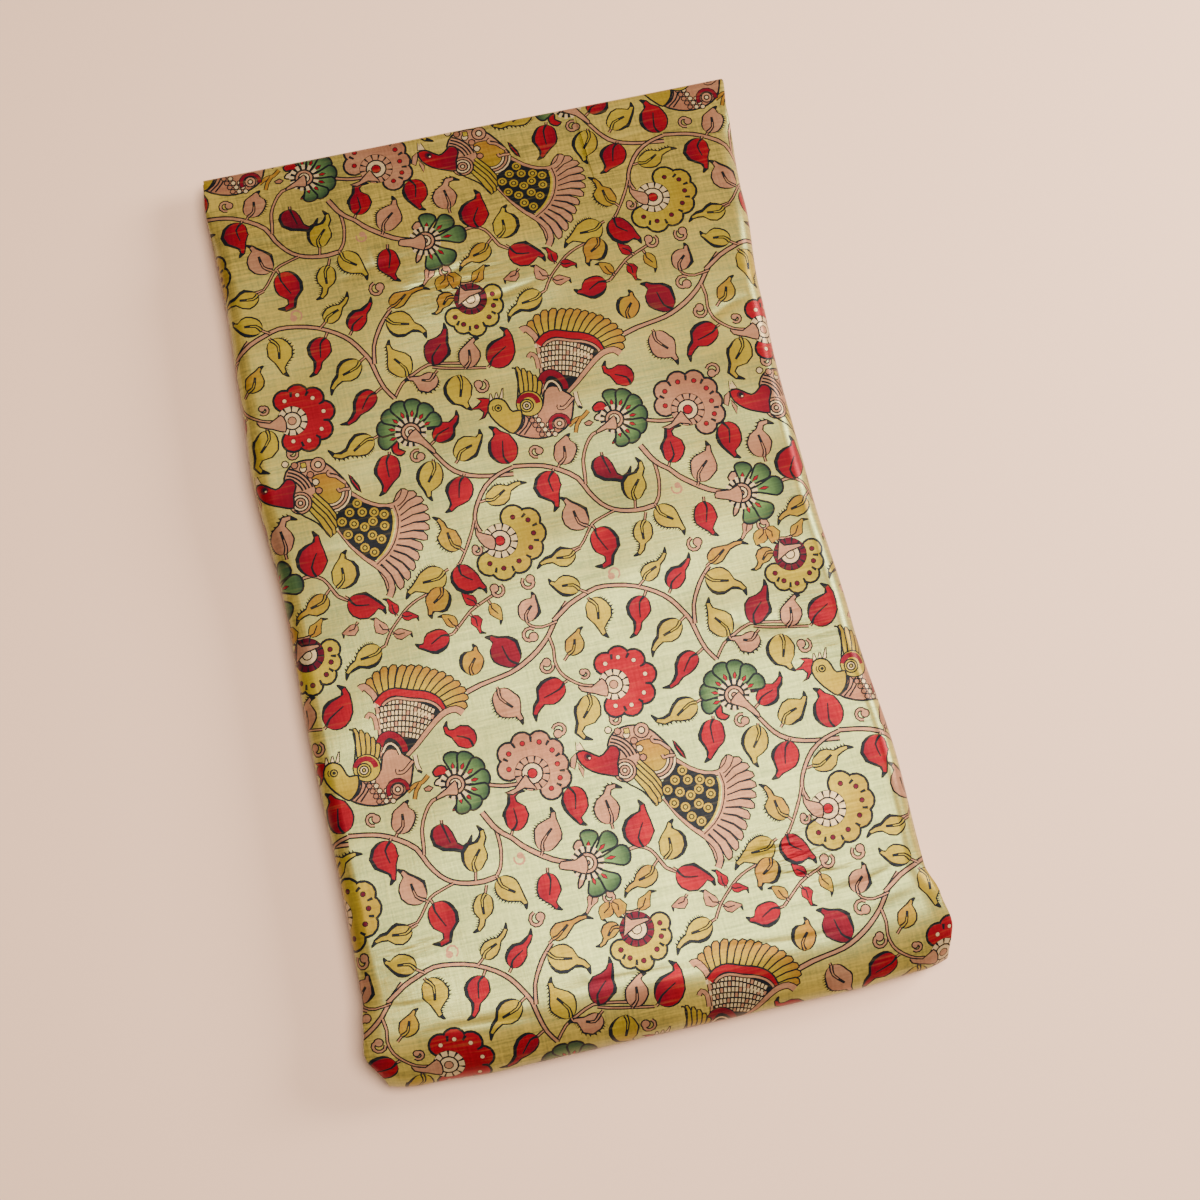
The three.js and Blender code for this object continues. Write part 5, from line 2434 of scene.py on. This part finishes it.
@dataclass(frozen=True)
class Softbox:
    """Square soft light that faces the bundle: the way to it, its distance, side, power and colour."""

    way: tuple[float, float, float]
    distance: float
    size: float
    power: float
    colour: Colour = (1.0, 0.93, 0.84)

    def hang(self, name: str) -> bpy.types.Object:
        """Hangs the light.

        Args:
            name: Name of the light.

        Returns:
            The light.
        """
        data = bpy.data.lights.new(name, "AREA")
        data.size = self.size
        data.energy = self.power
        data.color = self.colour
        way = Vector(self.way).normalized()
        lamp = put(name, data)
        lamp.location = way * self.distance
        lamp.rotation_euler = (-way).to_track_quat("-Z", "Y").to_euler()
        return lamp


@dataclass(frozen=True)
class Studio:
    """Floor, lights and the camera at the photograph's angle."""

    floor: Colour = (0.978, 0.806, 0.688)
    key: Softbox = Softbox((0.85, 0.16, 0.44), 1.9, 0.7, 58.0)
    top: Softbox = Softbox((0.14, -0.055, 0.99), 2.0, 0.95, 66.0)
    fill: float = 0.04
    lens: float = 57.0
    tilt: float = 11.5
    roll: float = 12.6958427
    lean: float = 2.5450906
    reach: tuple[float, float, float] = (-0.0282975, 0.0210056, -1.2266778)
    scale: float = 1.033

    def camera(self) -> bpy.types.Object:
        """Places the camera.

        Returns:
            The camera.
        """
        turn = (Matrix.Rotation(math.radians(self.lean), 3, "Y") @ Matrix.Rotation(math.radians(-self.tilt),
            3, "X") @ Matrix.Rotation(math.radians(self.roll), 3, "Z"))
        back = turn.transposed()
        place = -(back @ (Vector(self.reach) * self.scale)) + Vector([value * MM for value in SHIFT])
        data = bpy.data.cameras.new("camera")
        data.lens = self.lens
        data.sensor_width = 36.0
        data.clip_start = 0.05
        camera = put("camera", data)
        camera.matrix_world = Matrix.Translation(place) @ back.to_4x4()
        bpy.context.scene.camera = camera
        return camera

    def build(self) -> None:
        """Sets up the floor, the lights and the camera."""
        material = bpy.data.materials.new("studio_floor")
        material.use_nodes = True
        shader = material.node_tree.nodes["Principled BSDF"]
        shader.inputs["Base Color"].default_value = (*linear(self.floor), 1.0)
        shader.inputs["Roughness"].default_value = 0.8
        mesh = bpy.data.meshes.new("studio_floor")
        mesh.from_pydata([(-4, -4, 0), (4, -4, 0), (4, 4, 0), (-4, 4, 0)], [], [(0, 1, 2, 3)])
        mesh.materials.append(material)
        floor = put("studio_floor", mesh)
        floor.location = (0, 0, -0.0004)
        floor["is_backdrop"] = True
        self.key.hang("key_light")
        self.top.hang("top_light")
        world = bpy.data.worlds.new("studio")
        world.use_nodes = True
        world.node_tree.nodes["Background"].inputs[0].default_value = (1.0, 0.95, 0.90, 1.0)
        world.node_tree.nodes["Background"].inputs[1].default_value = self.fill
        bpy.context.scene.world = world
        self.camera()


def plain_boxes() -> dict:
    """Reads the boxes of all pieces as plain lists."""
    return json.loads(json.dumps(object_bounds(), default=lambda value: [float(v) for v in value]))


def main() -> None:
    """Builds the looks."""
    logging.basicConfig(level=logging.INFO, format="%(message)s")
    start = plain_boxes()
    surface = ClothSurface(FoldedSection())
    silk = SilkMaterial(SilkFinish(), surface.course.origin)
    cloth = PrintedCloth(surface, HalfDrop(), silk.material)
    piece = cloth.build("printed_cloth")
    log.info("printed_cloth: %d triangles", len(piece.data.polygons))
    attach(piece, "root")
    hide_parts(CLOTH)
    Studio().build()
    {"start": start, "end": plain_boxes()}


if __name__ == "__main__":
    main()
